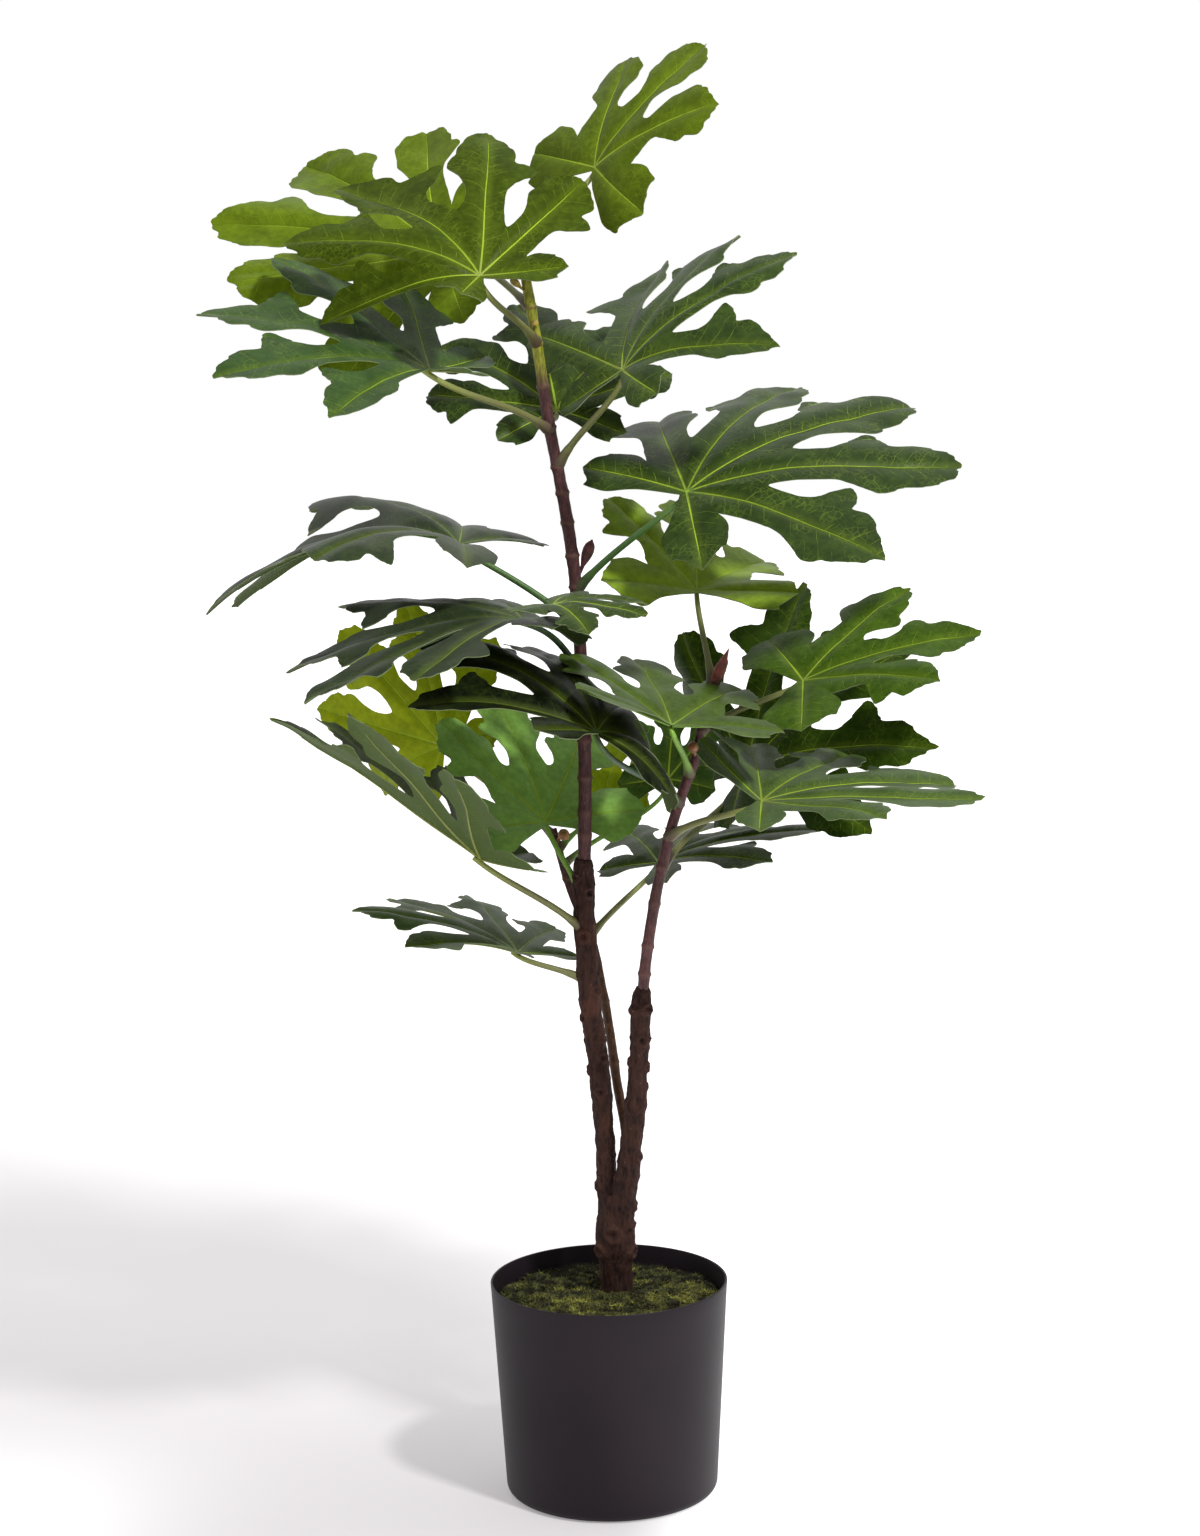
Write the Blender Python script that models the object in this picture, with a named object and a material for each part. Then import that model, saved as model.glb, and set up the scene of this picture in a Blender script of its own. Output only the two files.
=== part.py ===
"""Artificial fig tree for indoors: moulded leaves on three stems, in a plain nursery pot.

Metres, +Z up. The origin is the centre of the pot's flat underside, and the tree's front faces -Y.
"""
import math
from collections import namedtuple

import bmesh
import bpy
from mathutils import Matrix, Vector

GAP = 0.0003

POT_HEIGHT = 0.181
POT_RIM_RADIUS = 0.098
POT_FOOT_RADIUS = 0.0875
POT_WALL = 0.003
POT_FLOOR = 0.004
POT_FOOT_ROUND = 0.0085
POT_SIDES = 40

BALLAST_TOP = 0.066
MOSS_UNDERSIDE = 0.152
MOSS_EDGE = 0.167
GROUND = 0.170

STEM_SIDES = 10
STEM_STEPS = 12
RING_SHARE = 0.012
RING_HEIGHT = 0.005
LEAST_STEP = 0.008
SEAT_CLEARANCE = GAP * 1.5
FRUIT_SIDES = 8
PETIOLE_SIDES = 6
PETIOLE_STEPS = 6
PETIOLE_BASE = 0.0031
PETIOLE_NECK = 0.0017
LEAST_EDGE = 0.0003
# Shares of a blade's length: its thickness, the spacing of its creases and how close one runs to a corner.
BLADE_THICKNESS = 0.0125
CUT_SPACING = 0.36
CUT_SNAP = 0.004

Stem = namedtuple("Stem", "route radii nodes swelling")
Die = namedtuple("Die", "angles lengths widths bays notch")
Leaf = namedtuple("Leaf", "name stem height hub heading pitch roll size curl lifts die mirrored")

# A stem has a route of points, its radius at each, the heights of its rings and how far a ring stands out.
FOOT = Stem(
    [(0.0065, 0.004, GROUND + GAP), (0.0065, 0.004, 0.190), (0.0060, 0.002, 0.213), (0.0055, 0.0, 0.236),
     (0.0055, -0.002, 0.256)],
    [0.0130, 0.0132, 0.0165, 0.0140, 0.0085],
    [], 0.0)
LEFT_LEG = Stem(
    [(0.0020, 0.002, 0.220), (-0.0003, 0.001, 0.255), (-0.0012, 0.0, 0.300), (-0.0058, 0.0, 0.368),
     (-0.0115, 0.0, 0.419), (-0.0145, 0.0, 0.477), (-0.0144, 0.0, 0.5316)],
    [0.0080, 0.0082, 0.0080, 0.0084, 0.0088, 0.0088, 0.0082],
    [0.287, 0.337, 0.385, 0.440, 0.516], 0.0012)
RIGHT_LEG = Stem(
    [(0.0090, -0.003, 0.220), (0.0135, -0.008, 0.2515), (0.0228, -0.017, 0.322), (0.0276, -0.023, 0.374),
     (0.0292, -0.0275, 0.410), (0.0308, -0.028, 0.4295)],
    [0.0100, 0.0098, 0.0086, 0.0078, 0.0082, 0.0080],
    [0.272, 0.335, 0.392, 0.418], 0.0011)
BACK_STEM = Stem(
    [(0.0180, -0.014, 0.285), (0.0155, 0.004, 0.310), (0.0096, 0.018, 0.343), (0.0045, 0.027, 0.384),
     (-0.0015, 0.034, 0.421), (-0.0091, 0.040, 0.4585), (-0.0241, 0.047, 0.496), (-0.0327, 0.053, 0.5236),
     (-0.0397, 0.058, 0.5505)],
    [0.0040, 0.0040, 0.0039, 0.0038, 0.0037, 0.0036, 0.0035, 0.0034, 0.0030],
    [0.360, 0.410, 0.462, 0.510, 0.541], 0.0007)
MAIN_STEM = Stem(
    [(-0.0144, 0.0, 0.5316 + GAP), (-0.0123, 0.0, 0.602), (-0.0128, 0.0, 0.6676), (-0.0161, 0.0, 0.749),
     (-0.0208, 0.0, 0.798), (-0.0279, 0.0, 0.846), (-0.0358, 0.0, 0.890), (-0.0414, 0.0, 0.934),
     (-0.0469, 0.0, 0.974), (-0.0518, 0.0, 1.006), (-0.0553, 0.0, 1.033), (-0.0568, 0.0, 1.050)],
    [0.0054, 0.0053, 0.0052, 0.0050, 0.0050, 0.0048, 0.0047, 0.0045, 0.0042, 0.0040, 0.0032, 0.0008],
    [0.575, 0.635, 0.690, 0.727, 0.760, 0.812, 0.857, 0.888, 0.955, 0.984], 0.0011)
RIGHT_STEM = Stem(
    [(0.0308, -0.028, 0.4295 + GAP), (0.0345, -0.029, 0.4586), (0.0425, -0.030, 0.508),
     (0.0502, -0.030, 0.5426), (0.0587, -0.030, 0.5745), (0.0696, -0.030, 0.606), (0.0762, -0.030, 0.6225),
     (0.0805, -0.030, 0.643), (0.0881, -0.030, 0.6726), (0.0938, -0.030, 0.687), (0.0985, -0.030, 0.698),
     (0.1024, -0.030, 0.708)],
    [0.0047, 0.0046, 0.0045, 0.0044, 0.0043, 0.0042, 0.0038, 0.0035, 0.0034, 0.0040, 0.0033, 0.0008],
    [0.470, 0.505, 0.535, 0.560, 0.587, 0.611, 0.646, 0.674], 0.0009)
STEMS = {"left_leg": LEFT_LEG, "back_stem": BACK_STEM, "main_stem": MAIN_STEM, "right_stem": RIGHT_STEM}

# Unripe figs and buds: the stem that bears each, where it starts, its tip and its greatest radius.
FRUITS = [
    ("main_stem", (-0.0520, -0.002, 0.996), (-0.0640, -0.008, 1.008), 0.0032),
    ("main_stem", (-0.0485, -0.002, 0.969), (-0.0440, -0.009, 0.9735), 0.0030),
    ("main_stem", (-0.0160, 0.002, 0.764), (-0.0030, 0.006, 0.797), 0.0046),
    ("right_stem", (0.0770, -0.031, 0.624), (0.0735, -0.040, 0.6385), 0.0042),
    ("back_stem", (-0.0366, 0.055, 0.541), (-0.0290, 0.046, 0.549), 0.0044),
]

# A blade's die: lobe angles from the centre lobe, lengths and half-widths as shares of the centre lobe,
# how far out each bay between two lobes reaches in, and the depth of the notch at the petiole.
SEVEN_LOBED = Die((-118, -68, -33, 0, 33, 68, 118), (0.40, 0.78, 0.97, 1.0, 0.97, 0.78, 0.40),
                  (0.105, 0.135, 0.140, 0.145, 0.140, 0.135, 0.105),
                  (0.22, 0.31, 0.40, 0.40, 0.31, 0.22), 0.03)
FIVE_LOBED = Die((-100, -37, 0, 37, 100), (0.58, 0.88, 1.0, 0.88, 0.58),
                 (0.205, 0.165, 0.165, 0.165, 0.205), (0.33, 0.42, 0.42, 0.33), 0.03)
# A lobe's edge: share of its length, and share of its half-width there.
TOOTHED_EDGE = ((0.54, 0.60), (0.65, 1.45), (0.72, 1.30), (0.755, 0.85), (0.86, 0.98), (0.94, 0.62))
PLAIN_EDGE = ((0.52, 0.52), (0.69, 1.0), (0.79, 0.82), (0.90, 0.76))
ROUND_EDGE = ((0.45, 0.75), (0.62, 1.05), (0.80, 1.0), (0.93, 0.60))

# Every leaf: the stem and height it grows from, its hub where the veins meet, the way its centre lobe heads,
# rises and rolls (degrees), its centre lobe's length, its droop, and how far each lobe lifts, right to left.
LEAVES = [
    Leaf("leaf_01", "main_stem", 1.036, (0.004, 0.030, 1.092), 5, 60, 25, 0.135, 25,
         (-15, -15, -20, -15, 5), FIVE_LOBED, False),
    Leaf("leaf_02", "main_stem", 0.955, (-0.086, -0.090, 1.016), 137, 51, -5, 0.170, 37,
         (37, 15, -4, -33, -40, -57, 22), SEVEN_LOBED, True),
    Leaf("leaf_03", "main_stem", 0.984, (-0.122, 0.090, 1.025), 164, 4, -62, 0.186, 35,
         (-6, -26, -18, 12, 32, 0, 0), SEVEN_LOBED, True),
    Leaf("leaf_04", "main_stem", 0.886, (-0.126, -0.090, 0.944), 176, 25, 5, 0.185, 25,
         (20, 20, 8, -12, -25, -30, 8), SEVEN_LOBED, True),
    Leaf("leaf_05", "main_stem", 0.857, (0.023, -0.040, 0.937), 53, 53, -33, 0.170, 28,
         (-27, -46, -31, -20, -11, 21, 12), SEVEN_LOBED, False),
    Leaf("leaf_06", "main_stem", 0.892, (-0.030, 0.050, 0.897), 100, 42, -5, 0.145, 25,
         (-15, -15, -15, -10, -15, -15, -5), SEVEN_LOBED, False),
    Leaf("leaf_07", "main_stem", 0.757, (0.072, -0.050, 0.841), 25, 27, 21, 0.228, 44,
         (-18, -14, -15, -18, -20, -23, -4), SEVEN_LOBED, False),
    Leaf("leaf_08", "right_stem", 0.681, (0.081, 0.020, 0.752), 90, 28, 10, 0.140, 25,
         (15, -18, -5, 5, 5), FIVE_LOBED, False),
    Leaf("leaf_09", "main_stem", 0.727, (-0.110, 0.010, 0.795), 158, 15, 5, 0.220, 60,
         (-10, -15, -10, -35, -32, -15, -20), SEVEN_LOBED, False),
    Leaf("leaf_10", "main_stem", 0.690, (-0.059, -0.080, 0.747), 170, 0, 5, 0.195, 25,
         (-35, 0, 0, -15, -22, -20, -10), SEVEN_LOBED, False),
    Leaf("leaf_11", "back_stem", 0.543, (-0.133, 0.150, 0.605), 150, 45, -65, 0.130, 25,
         (0, 10, 20, 10, -15, -50, -30), SEVEN_LOBED, False),
    Leaf("leaf_12", "right_stem", 0.587, (-0.002, -0.155, 0.669), 106, 24, 7, 0.187, 50,
         (-50, -56, -31, -13, -5, -11, 8), SEVEN_LOBED, True),
    Leaf("leaf_13", "left_leg", 0.502, (-0.045, 0.020, 0.564), 113, 42, -3, 0.138, 25,
         (15, -10, 0, 8, 15), FIVE_LOBED, False),
    Leaf("leaf_14", "left_leg", 0.476, (-0.096, -0.050, 0.549), 180, 30, 5, 0.197, 15,
         (10, 15, 8, 5, 20, 25, 15), SEVEN_LOBED, False),
    Leaf("leaf_15", "left_leg", 0.434, (-0.070, 0.000, 0.460), 142, 20, 17, 0.142, 25,
         (10, 5, 0, -10, -12, -15, 5), SEVEN_LOBED, False),
    Leaf("leaf_16", "right_stem", 0.611, (0.056, -0.130, 0.669), 100, 3, 12, 0.148, 25,
         (5, 8, 8, 10, 12), FIVE_LOBED, False),
    Leaf("leaf_17", "right_stem", 0.646, (0.164, -0.020, 0.684), 2, 18, 23, 0.146, 25,
         (5, 5, -5, 0, -10), FIVE_LOBED, False),
    Leaf("leaf_18", "right_stem", 0.534, (0.121, 0.100, 0.588), -10, 53, 28, 0.178, 25,
         (8, -35, -30, -20, 3, 33, 0), SEVEN_LOBED, False),
    Leaf("leaf_19", "right_stem", 0.560, (0.126, -0.120, 0.606), 22, 7, 20, 0.175, 25,
         (10, 20, 5, -10, -18, -18, 30), SEVEN_LOBED, False),
    Leaf("leaf_20", "left_leg", 0.467, (0.047, 0.050, 0.522), 35, 28, -5, 0.145, 25,
         (0, -10, -20, -28, -22, -5, 0), SEVEN_LOBED, False),
    Leaf("leaf_21", "back_stem", 0.520, (0.056, 0.055, 0.591), 75, 62, 0, 0.072, 25,
         (0, 0, 0, 0, 0), FIVE_LOBED, False),
    Leaf("leaf_22", "back_stem", 0.533, (0.002, 0.100, 0.565), 70, 40, 0, 0.075, 25,
         (0, 0, 0, 0, 0), FIVE_LOBED, False),
    Leaf("leaf_23", "main_stem", 0.740, (-0.034, -0.120, 0.764), -30, 10, 10, 0.082, 25,
         (10, -15, -15, -18, -12), FIVE_LOBED, False),
]

POT_BLACK = (0.030, 0.027, 0.029)
CEMENT = (0.330, 0.320, 0.300)
FOAM = (0.300, 0.270, 0.180)
MOSS_GREEN = (0.050, 0.060, 0.016)
BARK = (0.070, 0.036, 0.026)
STEM_BROWN = (0.075, 0.032, 0.032)
YOUNG_GREEN = (0.130, 0.230, 0.015)
LEAF_GREEN = (0.035, 0.110, 0.020)
DARK_GREEN = (0.016, 0.045, 0.018)
TINTS = {YOUNG_GREEN: (1, 2, 3, 11, 17, 22), LEAF_GREEN: (8, 13, 15, 16, 19, 21)}


def clear_scene():
    """Remove whatever the scene holds."""
    for obj in list(bpy.data.objects):
        bpy.data.objects.remove(obj, do_unlink=True)


def material(name, color, roughness):
    """A plain material of one colour."""
    mat = bpy.data.materials.new(name)
    mat.use_nodes = True
    shader = mat.node_tree.nodes["Principled BSDF"]
    shader.inputs["Base Color"].default_value = (*color, 1.0)
    shader.inputs["Roughness"].default_value = roughness
    shader.inputs["Metallic"].default_value = 0.0
    return mat


def add_object(name, bm, color=None, roughness=0.6):
    """Link a new object made from a bmesh, with its own material."""
    bmesh.ops.recalc_face_normals(bm, faces=bm.faces[:])
    mesh = bpy.data.meshes.new(name)
    bm.to_mesh(mesh)
    bm.free()
    obj = bpy.data.objects.new(name, mesh)
    bpy.context.scene.collection.objects.link(obj)
    if color is not None:
        mesh.materials.append(material(name, color, roughness))
        mesh.shade_smooth()
        mesh.set_sharp_from_angle(angle=math.radians(50))
    return obj


def combine(obj, other, operation):
    """Join another solid to an object, or cut it away, and remove that solid."""
    boolean = obj.modifiers.new("Boolean", "BOOLEAN")
    boolean.operation = operation
    boolean.solver = "EXACT"
    boolean.object = other
    result = bpy.data.meshes.new_from_object(obj.evaluated_get(bpy.context.evaluated_depsgraph_get()))
    obj.modifiers.clear()
    obj.data = result
    bpy.data.objects.remove(other, do_unlink=True)


def close_slivers(obj):
    """Merges an object's finest edges and facets, which are shorter or narrower than its mould would hold."""
    bm = bmesh.new()
    bm.from_mesh(obj.data)
    bmesh.ops.triangulate(bm, faces=bm.faces[:])
    bmesh.ops.dissolve_degenerate(bm, dist=LEAST_EDGE, edges=bm.edges[:])
    bmesh.ops.triangulate(bm, faces=bm.faces[:])
    bm.to_mesh(obj.data)
    bm.free()


def turned(profile, sides):
    """A solid of revolution about Z from a profile that starts and ends on the axis."""
    bm = bmesh.new()
    verts = [bm.verts.new((radius, 0.0, z)) for radius, z in profile]
    edges = [bm.edges.new(pair) for pair in zip(verts, verts[1:])]
    bmesh.ops.spin(bm, geom=verts + edges, axis=(0, 0, 1), cent=(0, 0, 0), angle=math.tau, steps=sides,
                   use_merge=True)
    bmesh.ops.remove_doubles(bm, verts=bm.verts[:], dist=0.00001)
    return bm


def pot_radius(z):
    """The pot's outer radius at a height."""
    return POT_FOOT_RADIUS + (POT_RIM_RADIUS - POT_FOOT_RADIUS) * z / POT_HEIGHT


def make_pot():
    """The nursery pot: a thin tapered shell with a rounded foot and a plain rim."""
    profile = [(0.0, 0.0)]
    for step in range(5):
        angle = math.radians(-90 + 22.5 * step)
        profile.append((pot_radius(POT_FOOT_ROUND) + POT_FOOT_ROUND * (math.cos(angle) - 1),
                        POT_FOOT_ROUND * (1 + math.sin(angle))))
    rim_edge = POT_WALL * 0.3
    profile += [(pot_radius(POT_HEIGHT), POT_HEIGHT - rim_edge),
                (pot_radius(POT_HEIGHT) - rim_edge, POT_HEIGHT),
                (pot_radius(POT_HEIGHT) - POT_WALL + rim_edge, POT_HEIGHT),
                (pot_radius(POT_HEIGHT) - POT_WALL, POT_HEIGHT - rim_edge),
                (pot_radius(POT_FOOT_ROUND) - POT_WALL, POT_FOOT_ROUND + POT_FLOOR),
                (pot_radius(0) - POT_FOOT_ROUND, POT_FLOOR), (0.0, POT_FLOOR)]
    add_object("pot", turned(profile, POT_SIDES), POT_BLACK, 0.5)


def make_plug(name, bottom, edge, middle, color, roughness):
    """A layer inside the pot that keeps clear of its wall, and of the slope inside its foot."""
    def inner(z):
        return pot_radius(z) - POT_WALL - GAP * 2

    slope_top = POT_FOOT_ROUND + POT_FLOOR
    if bottom < slope_top:
        profile = [(0.0, bottom), (pot_radius(0) - POT_FOOT_ROUND - GAP, bottom),
                   (inner(slope_top) - GAP, slope_top + GAP)]
    else:
        profile = [(0.0, bottom), (inner(bottom), bottom)]
    dome = middle - edge
    profile += [(inner(edge), edge), (inner(edge) * 0.7, edge + dome * 0.75), (inner(edge) * 0.3, middle),
                (0.0, middle)]
    add_object(name, turned(profile, POT_SIDES), color, roughness)


def spline(points, t):
    """A point on a smooth curve through the points, with t running from 0 at the first to 1 at the last."""
    count = len(points) - 1
    at = min(max(t, 0.0), 1.0) * count
    i = min(int(at), count - 1)
    f = at - i
    b, c = points[i], points[i + 1]
    a = points[i - 1] if i > 0 else b * 2 - c
    d = points[i + 2] if i + 2 <= count else c * 2 - b
    bend, twist = a * 2 - b * 5 + c * 4 - d, b * 3 - a - c * 3 + d
    return (b * 2 + (c - a) * f + bend * f * f + twist * f ** 3) * 0.5


def tube(centres, radii, sides):
    """A closed tube through the centres, one ring at each."""
    bm = bmesh.new()
    rings = []
    side = Vector((1, 0, 0))
    for i, (centre, radius) in enumerate(zip(centres, radii)):
        ahead = centres[min(i + 1, len(centres) - 1)] - centres[max(i - 1, 0)]
        ahead.normalize()
        side = (side - ahead * side.dot(ahead)).normalized()
        turn = Matrix((side, ahead.cross(side), ahead)).transposed().to_4x4()
        place = Matrix.Translation(centre) @ turn
        ring = bmesh.ops.create_circle(bm, segments=sides, radius=radius, matrix=place)
        rings.append(ring["verts"])
    bmesh.ops.contextual_create(bm, geom=rings[0])
    bmesh.ops.contextual_create(bm, geom=rings[-1])
    for low, high in zip(rings, rings[1:]):
        edges = list({e for v in low + high for e in v.link_edges if e.other_vert(v) in low + high
                      and (v in low) == (e.other_vert(v) in low)})
        bmesh.ops.bridge_loops(bm, edges=edges)
    return bm


def stem_solid(stem, extra=0.0):
    """The tube of a stem, with its ring nodes, made thicker by a margin."""
    route = [Vector(p) for p in stem.route]
    radii = [Vector((r, 0, 0)) for r in stem.radii]
    spots = {i / STEM_STEPS for i in range(STEM_STEPS + 1)}
    for node in stem.nodes:
        middle = share_at_height(stem, node)
        spots |= {middle - RING_SHARE, middle, middle + RING_SHARE}
    spots = sorted(t for t in spots if 0.0 <= t <= 1.0)
    kept = [spots[0]]
    for t in spots[1:-1]:
        if t - kept[-1] > LEAST_STEP:
            kept.append(t)
    kept.append(spots[-1])
    centres = [spline(route, t) for t in kept]
    sizes = []
    for t, centre in zip(kept, centres):
        ring = sum(max(0.0, 1.0 - abs(centre.z - node) / RING_HEIGHT) for node in stem.nodes)
        sizes.append(spline(radii, t).x + stem.swelling * min(ring, 1.0) + extra)
    return tube(centres, sizes, STEM_SIDES)


def share_at_height(stem, height):
    """How far along a stem a height lies, from 0 to 1."""
    route = [Vector(p) for p in stem.route]
    low, high = 0.0, 1.0
    for _ in range(30):
        middle = (low + high) / 2
        if spline(route, middle).z < height:
            low = middle
        else:
            high = middle
    return low


def fruit_solid(base, tip, radius):
    """A small pear-shaped fig or bud on its stalk."""
    base, tip = Vector(base), Vector(tip)
    shape = ((0.0, 0.40), (0.25, 0.38), (0.45, 0.55), (0.62, 0.95), (0.78, 1.0), (0.92, 0.62), (1.0, 0.15))
    return tube([base.lerp(tip, t) for t, _ in shape], [radius * k for _, k in shape], FRUIT_SIDES)


def make_stems():
    """The rooted trunk with its two thick legs, and the three stems seated on it."""
    trunk = add_object("trunk", stem_solid(FOOT), BARK, 0.85)
    for leg in (LEFT_LEG, RIGHT_LEG):
        combine(trunk, add_object("leg", stem_solid(leg)), "UNION")
    for name in ("back_stem", "main_stem", "right_stem"):
        stem = add_object(name, stem_solid(STEMS[name]), STEM_BROWN, 0.6)
        for bearer, base, tip, radius in FRUITS:
            if bearer == name:
                combine(stem, add_object("fruit", fruit_solid(base, tip, radius)), "UNION")
        if name == "back_stem":
            combine(stem, add_object("seat", stem_solid(RIGHT_LEG, SEAT_CLEARANCE)), "DIFFERENCE")


def blade_outline(die, mirrored):
    """The flat blade's outline, for a centre lobe one long along +X."""
    def on_lobe(i, along, across):
        angle = math.radians(die.angles[i])
        reach = along * die.lengths[i]
        offset = across * die.widths[i]
        return (math.cos(angle) * reach - math.sin(angle) * offset,
                math.sin(angle) * reach + math.cos(angle) * offset)

    last = len(die.angles) - 1
    points = [(-die.notch, 0.0), on_lobe(0, 0.22, -0.45)]
    for i in range(last + 1):
        basal = i in (0, last)
        near_edge = ROUND_EDGE if basal else PLAIN_EDGE
        far_edge = ROUND_EDGE if basal else TOOTHED_EDGE
        points += [on_lobe(i, along, -across) for along, across in near_edge]
        points.append(on_lobe(i, 1.0, 0.0))
        points += [on_lobe(i, along, across) for along, across in reversed(far_edge)]
        if i < last:
            middle = math.radians((die.angles[i] + die.angles[i + 1]) / 2)
            points.append((math.cos(middle) * die.bays[i], math.sin(middle) * die.bays[i]))
    points.append(on_lobe(last, 0.22, 0.45))
    if mirrored:
        points = [(x, -y) for x, y in reversed(points)]
    return points


def lift_towards(leaf, angle):
    """The lift of a leaf in a direction: held along each lobe and eased between two lobes."""
    angles = leaf.die.angles
    lift = leaf.lifts[0]
    for i in range(len(angles) - 1):
        t = min(max((math.degrees(angle) - angles[i]) / (angles[i + 1] - angles[i]), 0.0), 1.0)
        lift += (leaf.lifts[i + 1] - leaf.lifts[i]) * t * t * (3 - 2 * t)
    return math.radians(lift)


def bent(leaf, x, y):
    """Where a point of the flat blade goes once its lobes lift and droop."""
    radius, angle = math.hypot(x, y), math.atan2(y, x)
    lift = lift_towards(leaf, angle)
    out = rise = 0.0
    steps = 12
    for k in range(steps):
        reach = (k + 0.5) / steps * radius
        slope = lift * min(1.0, 0.45 + 1.4 * reach) + math.radians(leaf.curl) * 0.7 * (0.5 - reach)
        out += math.cos(slope) * radius / steps
        rise += math.sin(slope) * radius / steps
    return Vector((out * math.cos(angle), out * math.sin(angle), rise))


def leaf_axes(leaf):
    """The blade's directions: along the centre lobe, to its left, and up from its face."""
    heading, pitch, roll = (math.radians(a) for a in (leaf.heading, leaf.pitch, leaf.roll))
    flat = math.cos(pitch)
    ahead = Vector((flat * math.cos(heading), flat * math.sin(heading), math.sin(pitch)))
    level = Vector((-math.sin(heading), math.cos(heading), 0.0))
    left = level * math.cos(roll) + ahead.cross(level) * math.sin(roll)
    return Matrix((ahead, left, ahead.cross(left))).transposed()


def blade_solid(leaf):
    """The lobed blade, bent, placed and thickened."""
    bm = bmesh.new()
    bm.faces.new([bm.verts.new((x, y, 0.0)) for x, y in blade_outline(leaf.die, leaf.mirrored)])
    for axis in (Vector((1, 0, 0)), Vector((0, 1, 0))):
        for k in range(-2, 3):
            bmesh.ops.bisect_plane(bm, geom=bm.verts[:] + bm.edges[:] + bm.faces[:], dist=CUT_SNAP,
                                   plane_co=axis * (k * CUT_SPACING), plane_no=axis)
    bmesh.ops.triangulate(bm, faces=bm.faces[:])
    axes = leaf_axes(leaf)
    for v in bm.verts:
        v.co = Vector(leaf.hub) + axes @ (bent(leaf, v.co.x, v.co.y) * leaf.size)
    bmesh.ops.recalc_face_normals(bm, faces=bm.faces[:])
    bmesh.ops.solidify(bm, geom=bm.faces[:], thickness=leaf.size * BLADE_THICKNESS)
    return bm


def petiole_solid(leaf):
    """The leaf's stalk, from inside its stem to under the hub."""
    stem = STEMS[leaf.stem]
    start = spline([Vector(p) for p in stem.route], share_at_height(stem, leaf.height))
    hub = Vector(leaf.hub)
    axes = leaf_axes(leaf)
    span = (hub - start).length
    leaving = start + (hub - start) * 0.35 + Vector((0, 0, span * 0.06))
    arriving = hub - axes.col[0] * span * 0.25 - axes.col[2] * span * 0.08
    end = hub + axes.col[0] * leaf.size * 0.04
    centres = []
    radii = []
    for k in range(PETIOLE_STEPS + 1):
        t = k / PETIOLE_STEPS
        centres.append(start * (1 - t) ** 3 + leaving * 3 * t * (1 - t) ** 2
                       + arriving * 3 * t * t * (1 - t) + end * t ** 3)
        radii.append(PETIOLE_NECK + (PETIOLE_BASE - PETIOLE_NECK) * (1 - t) ** 3)
    return tube(centres, radii, PETIOLE_SIDES)


def make_leaves():
    """Every leaf: blade and petiole in one, cut clear of the stem that bears it."""
    for number, leaf in enumerate(LEAVES, start=1):
        color = next((tint for tint, numbers in TINTS.items() if number in numbers), DARK_GREEN)
        blade = add_object(leaf.name, blade_solid(leaf), color, 0.45)
        combine(blade, add_object("petiole", petiole_solid(leaf)), "UNION")
        combine(blade, add_object("stem", stem_solid(STEMS[leaf.stem], SEAT_CLEARANCE)), "DIFFERENCE")
        close_slivers(blade)


def main():
    clear_scene()
    make_pot()
    make_plug("ballast", POT_FLOOR + GAP, BALLAST_TOP, BALLAST_TOP, CEMENT, 0.9)
    make_plug("foam", BALLAST_TOP + GAP, MOSS_UNDERSIDE, MOSS_UNDERSIDE, FOAM, 0.9)
    make_plug("moss", MOSS_UNDERSIDE + GAP, MOSS_EDGE, GROUND, MOSS_GREEN, 0.95)
    make_stems()
    make_leaves()


main()
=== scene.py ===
"""Artificial fig tree in a nursery pot: leaves, stems, bark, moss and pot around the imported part.

Metres, +Z up. The tree's front faces -Y, and the origin is the centre of the pot's flat underside.
"""
import random
from collections import namedtuple
from functools import cached_property
from math import atan2, cos, degrees, exp, hypot, radians, sin, sqrt, tau

import bmesh
import bpy
from bpy.props import FloatProperty, FloatVectorProperty, IntProperty, PointerProperty
from mathutils import Matrix, Vector, noise


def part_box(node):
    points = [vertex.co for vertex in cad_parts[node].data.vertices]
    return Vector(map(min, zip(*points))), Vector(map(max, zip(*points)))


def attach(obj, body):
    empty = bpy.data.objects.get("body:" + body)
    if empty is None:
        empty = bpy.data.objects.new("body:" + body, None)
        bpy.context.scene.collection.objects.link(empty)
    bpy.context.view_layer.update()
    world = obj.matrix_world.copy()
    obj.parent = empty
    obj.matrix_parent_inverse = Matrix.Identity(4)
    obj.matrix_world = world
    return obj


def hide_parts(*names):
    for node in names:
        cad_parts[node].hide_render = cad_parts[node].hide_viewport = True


bl_info = {
    "name": "Potted fig tree",
    "version": (1, 0, 0),
    "blender": (4, 5, 0),
    "location": "View3D > Sidebar > Fig tree",
    "description": "Dresses an artificial fig tree with its leaves, stems, bark, moss and pot",
    "category": "Object",
}

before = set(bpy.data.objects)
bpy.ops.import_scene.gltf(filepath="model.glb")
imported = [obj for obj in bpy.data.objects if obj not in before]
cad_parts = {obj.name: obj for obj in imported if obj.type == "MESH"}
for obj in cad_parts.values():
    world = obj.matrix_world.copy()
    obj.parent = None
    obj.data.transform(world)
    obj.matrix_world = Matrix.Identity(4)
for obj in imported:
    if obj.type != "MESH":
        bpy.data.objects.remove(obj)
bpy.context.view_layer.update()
POT_LOW, POT_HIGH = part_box("pot")
MOSS_LOW, MOSS_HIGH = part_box("moss")
TRUNK_LOW, TRUNK_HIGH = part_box("trunk")
SIDEBAR_TAB = "Fig tree"

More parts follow.
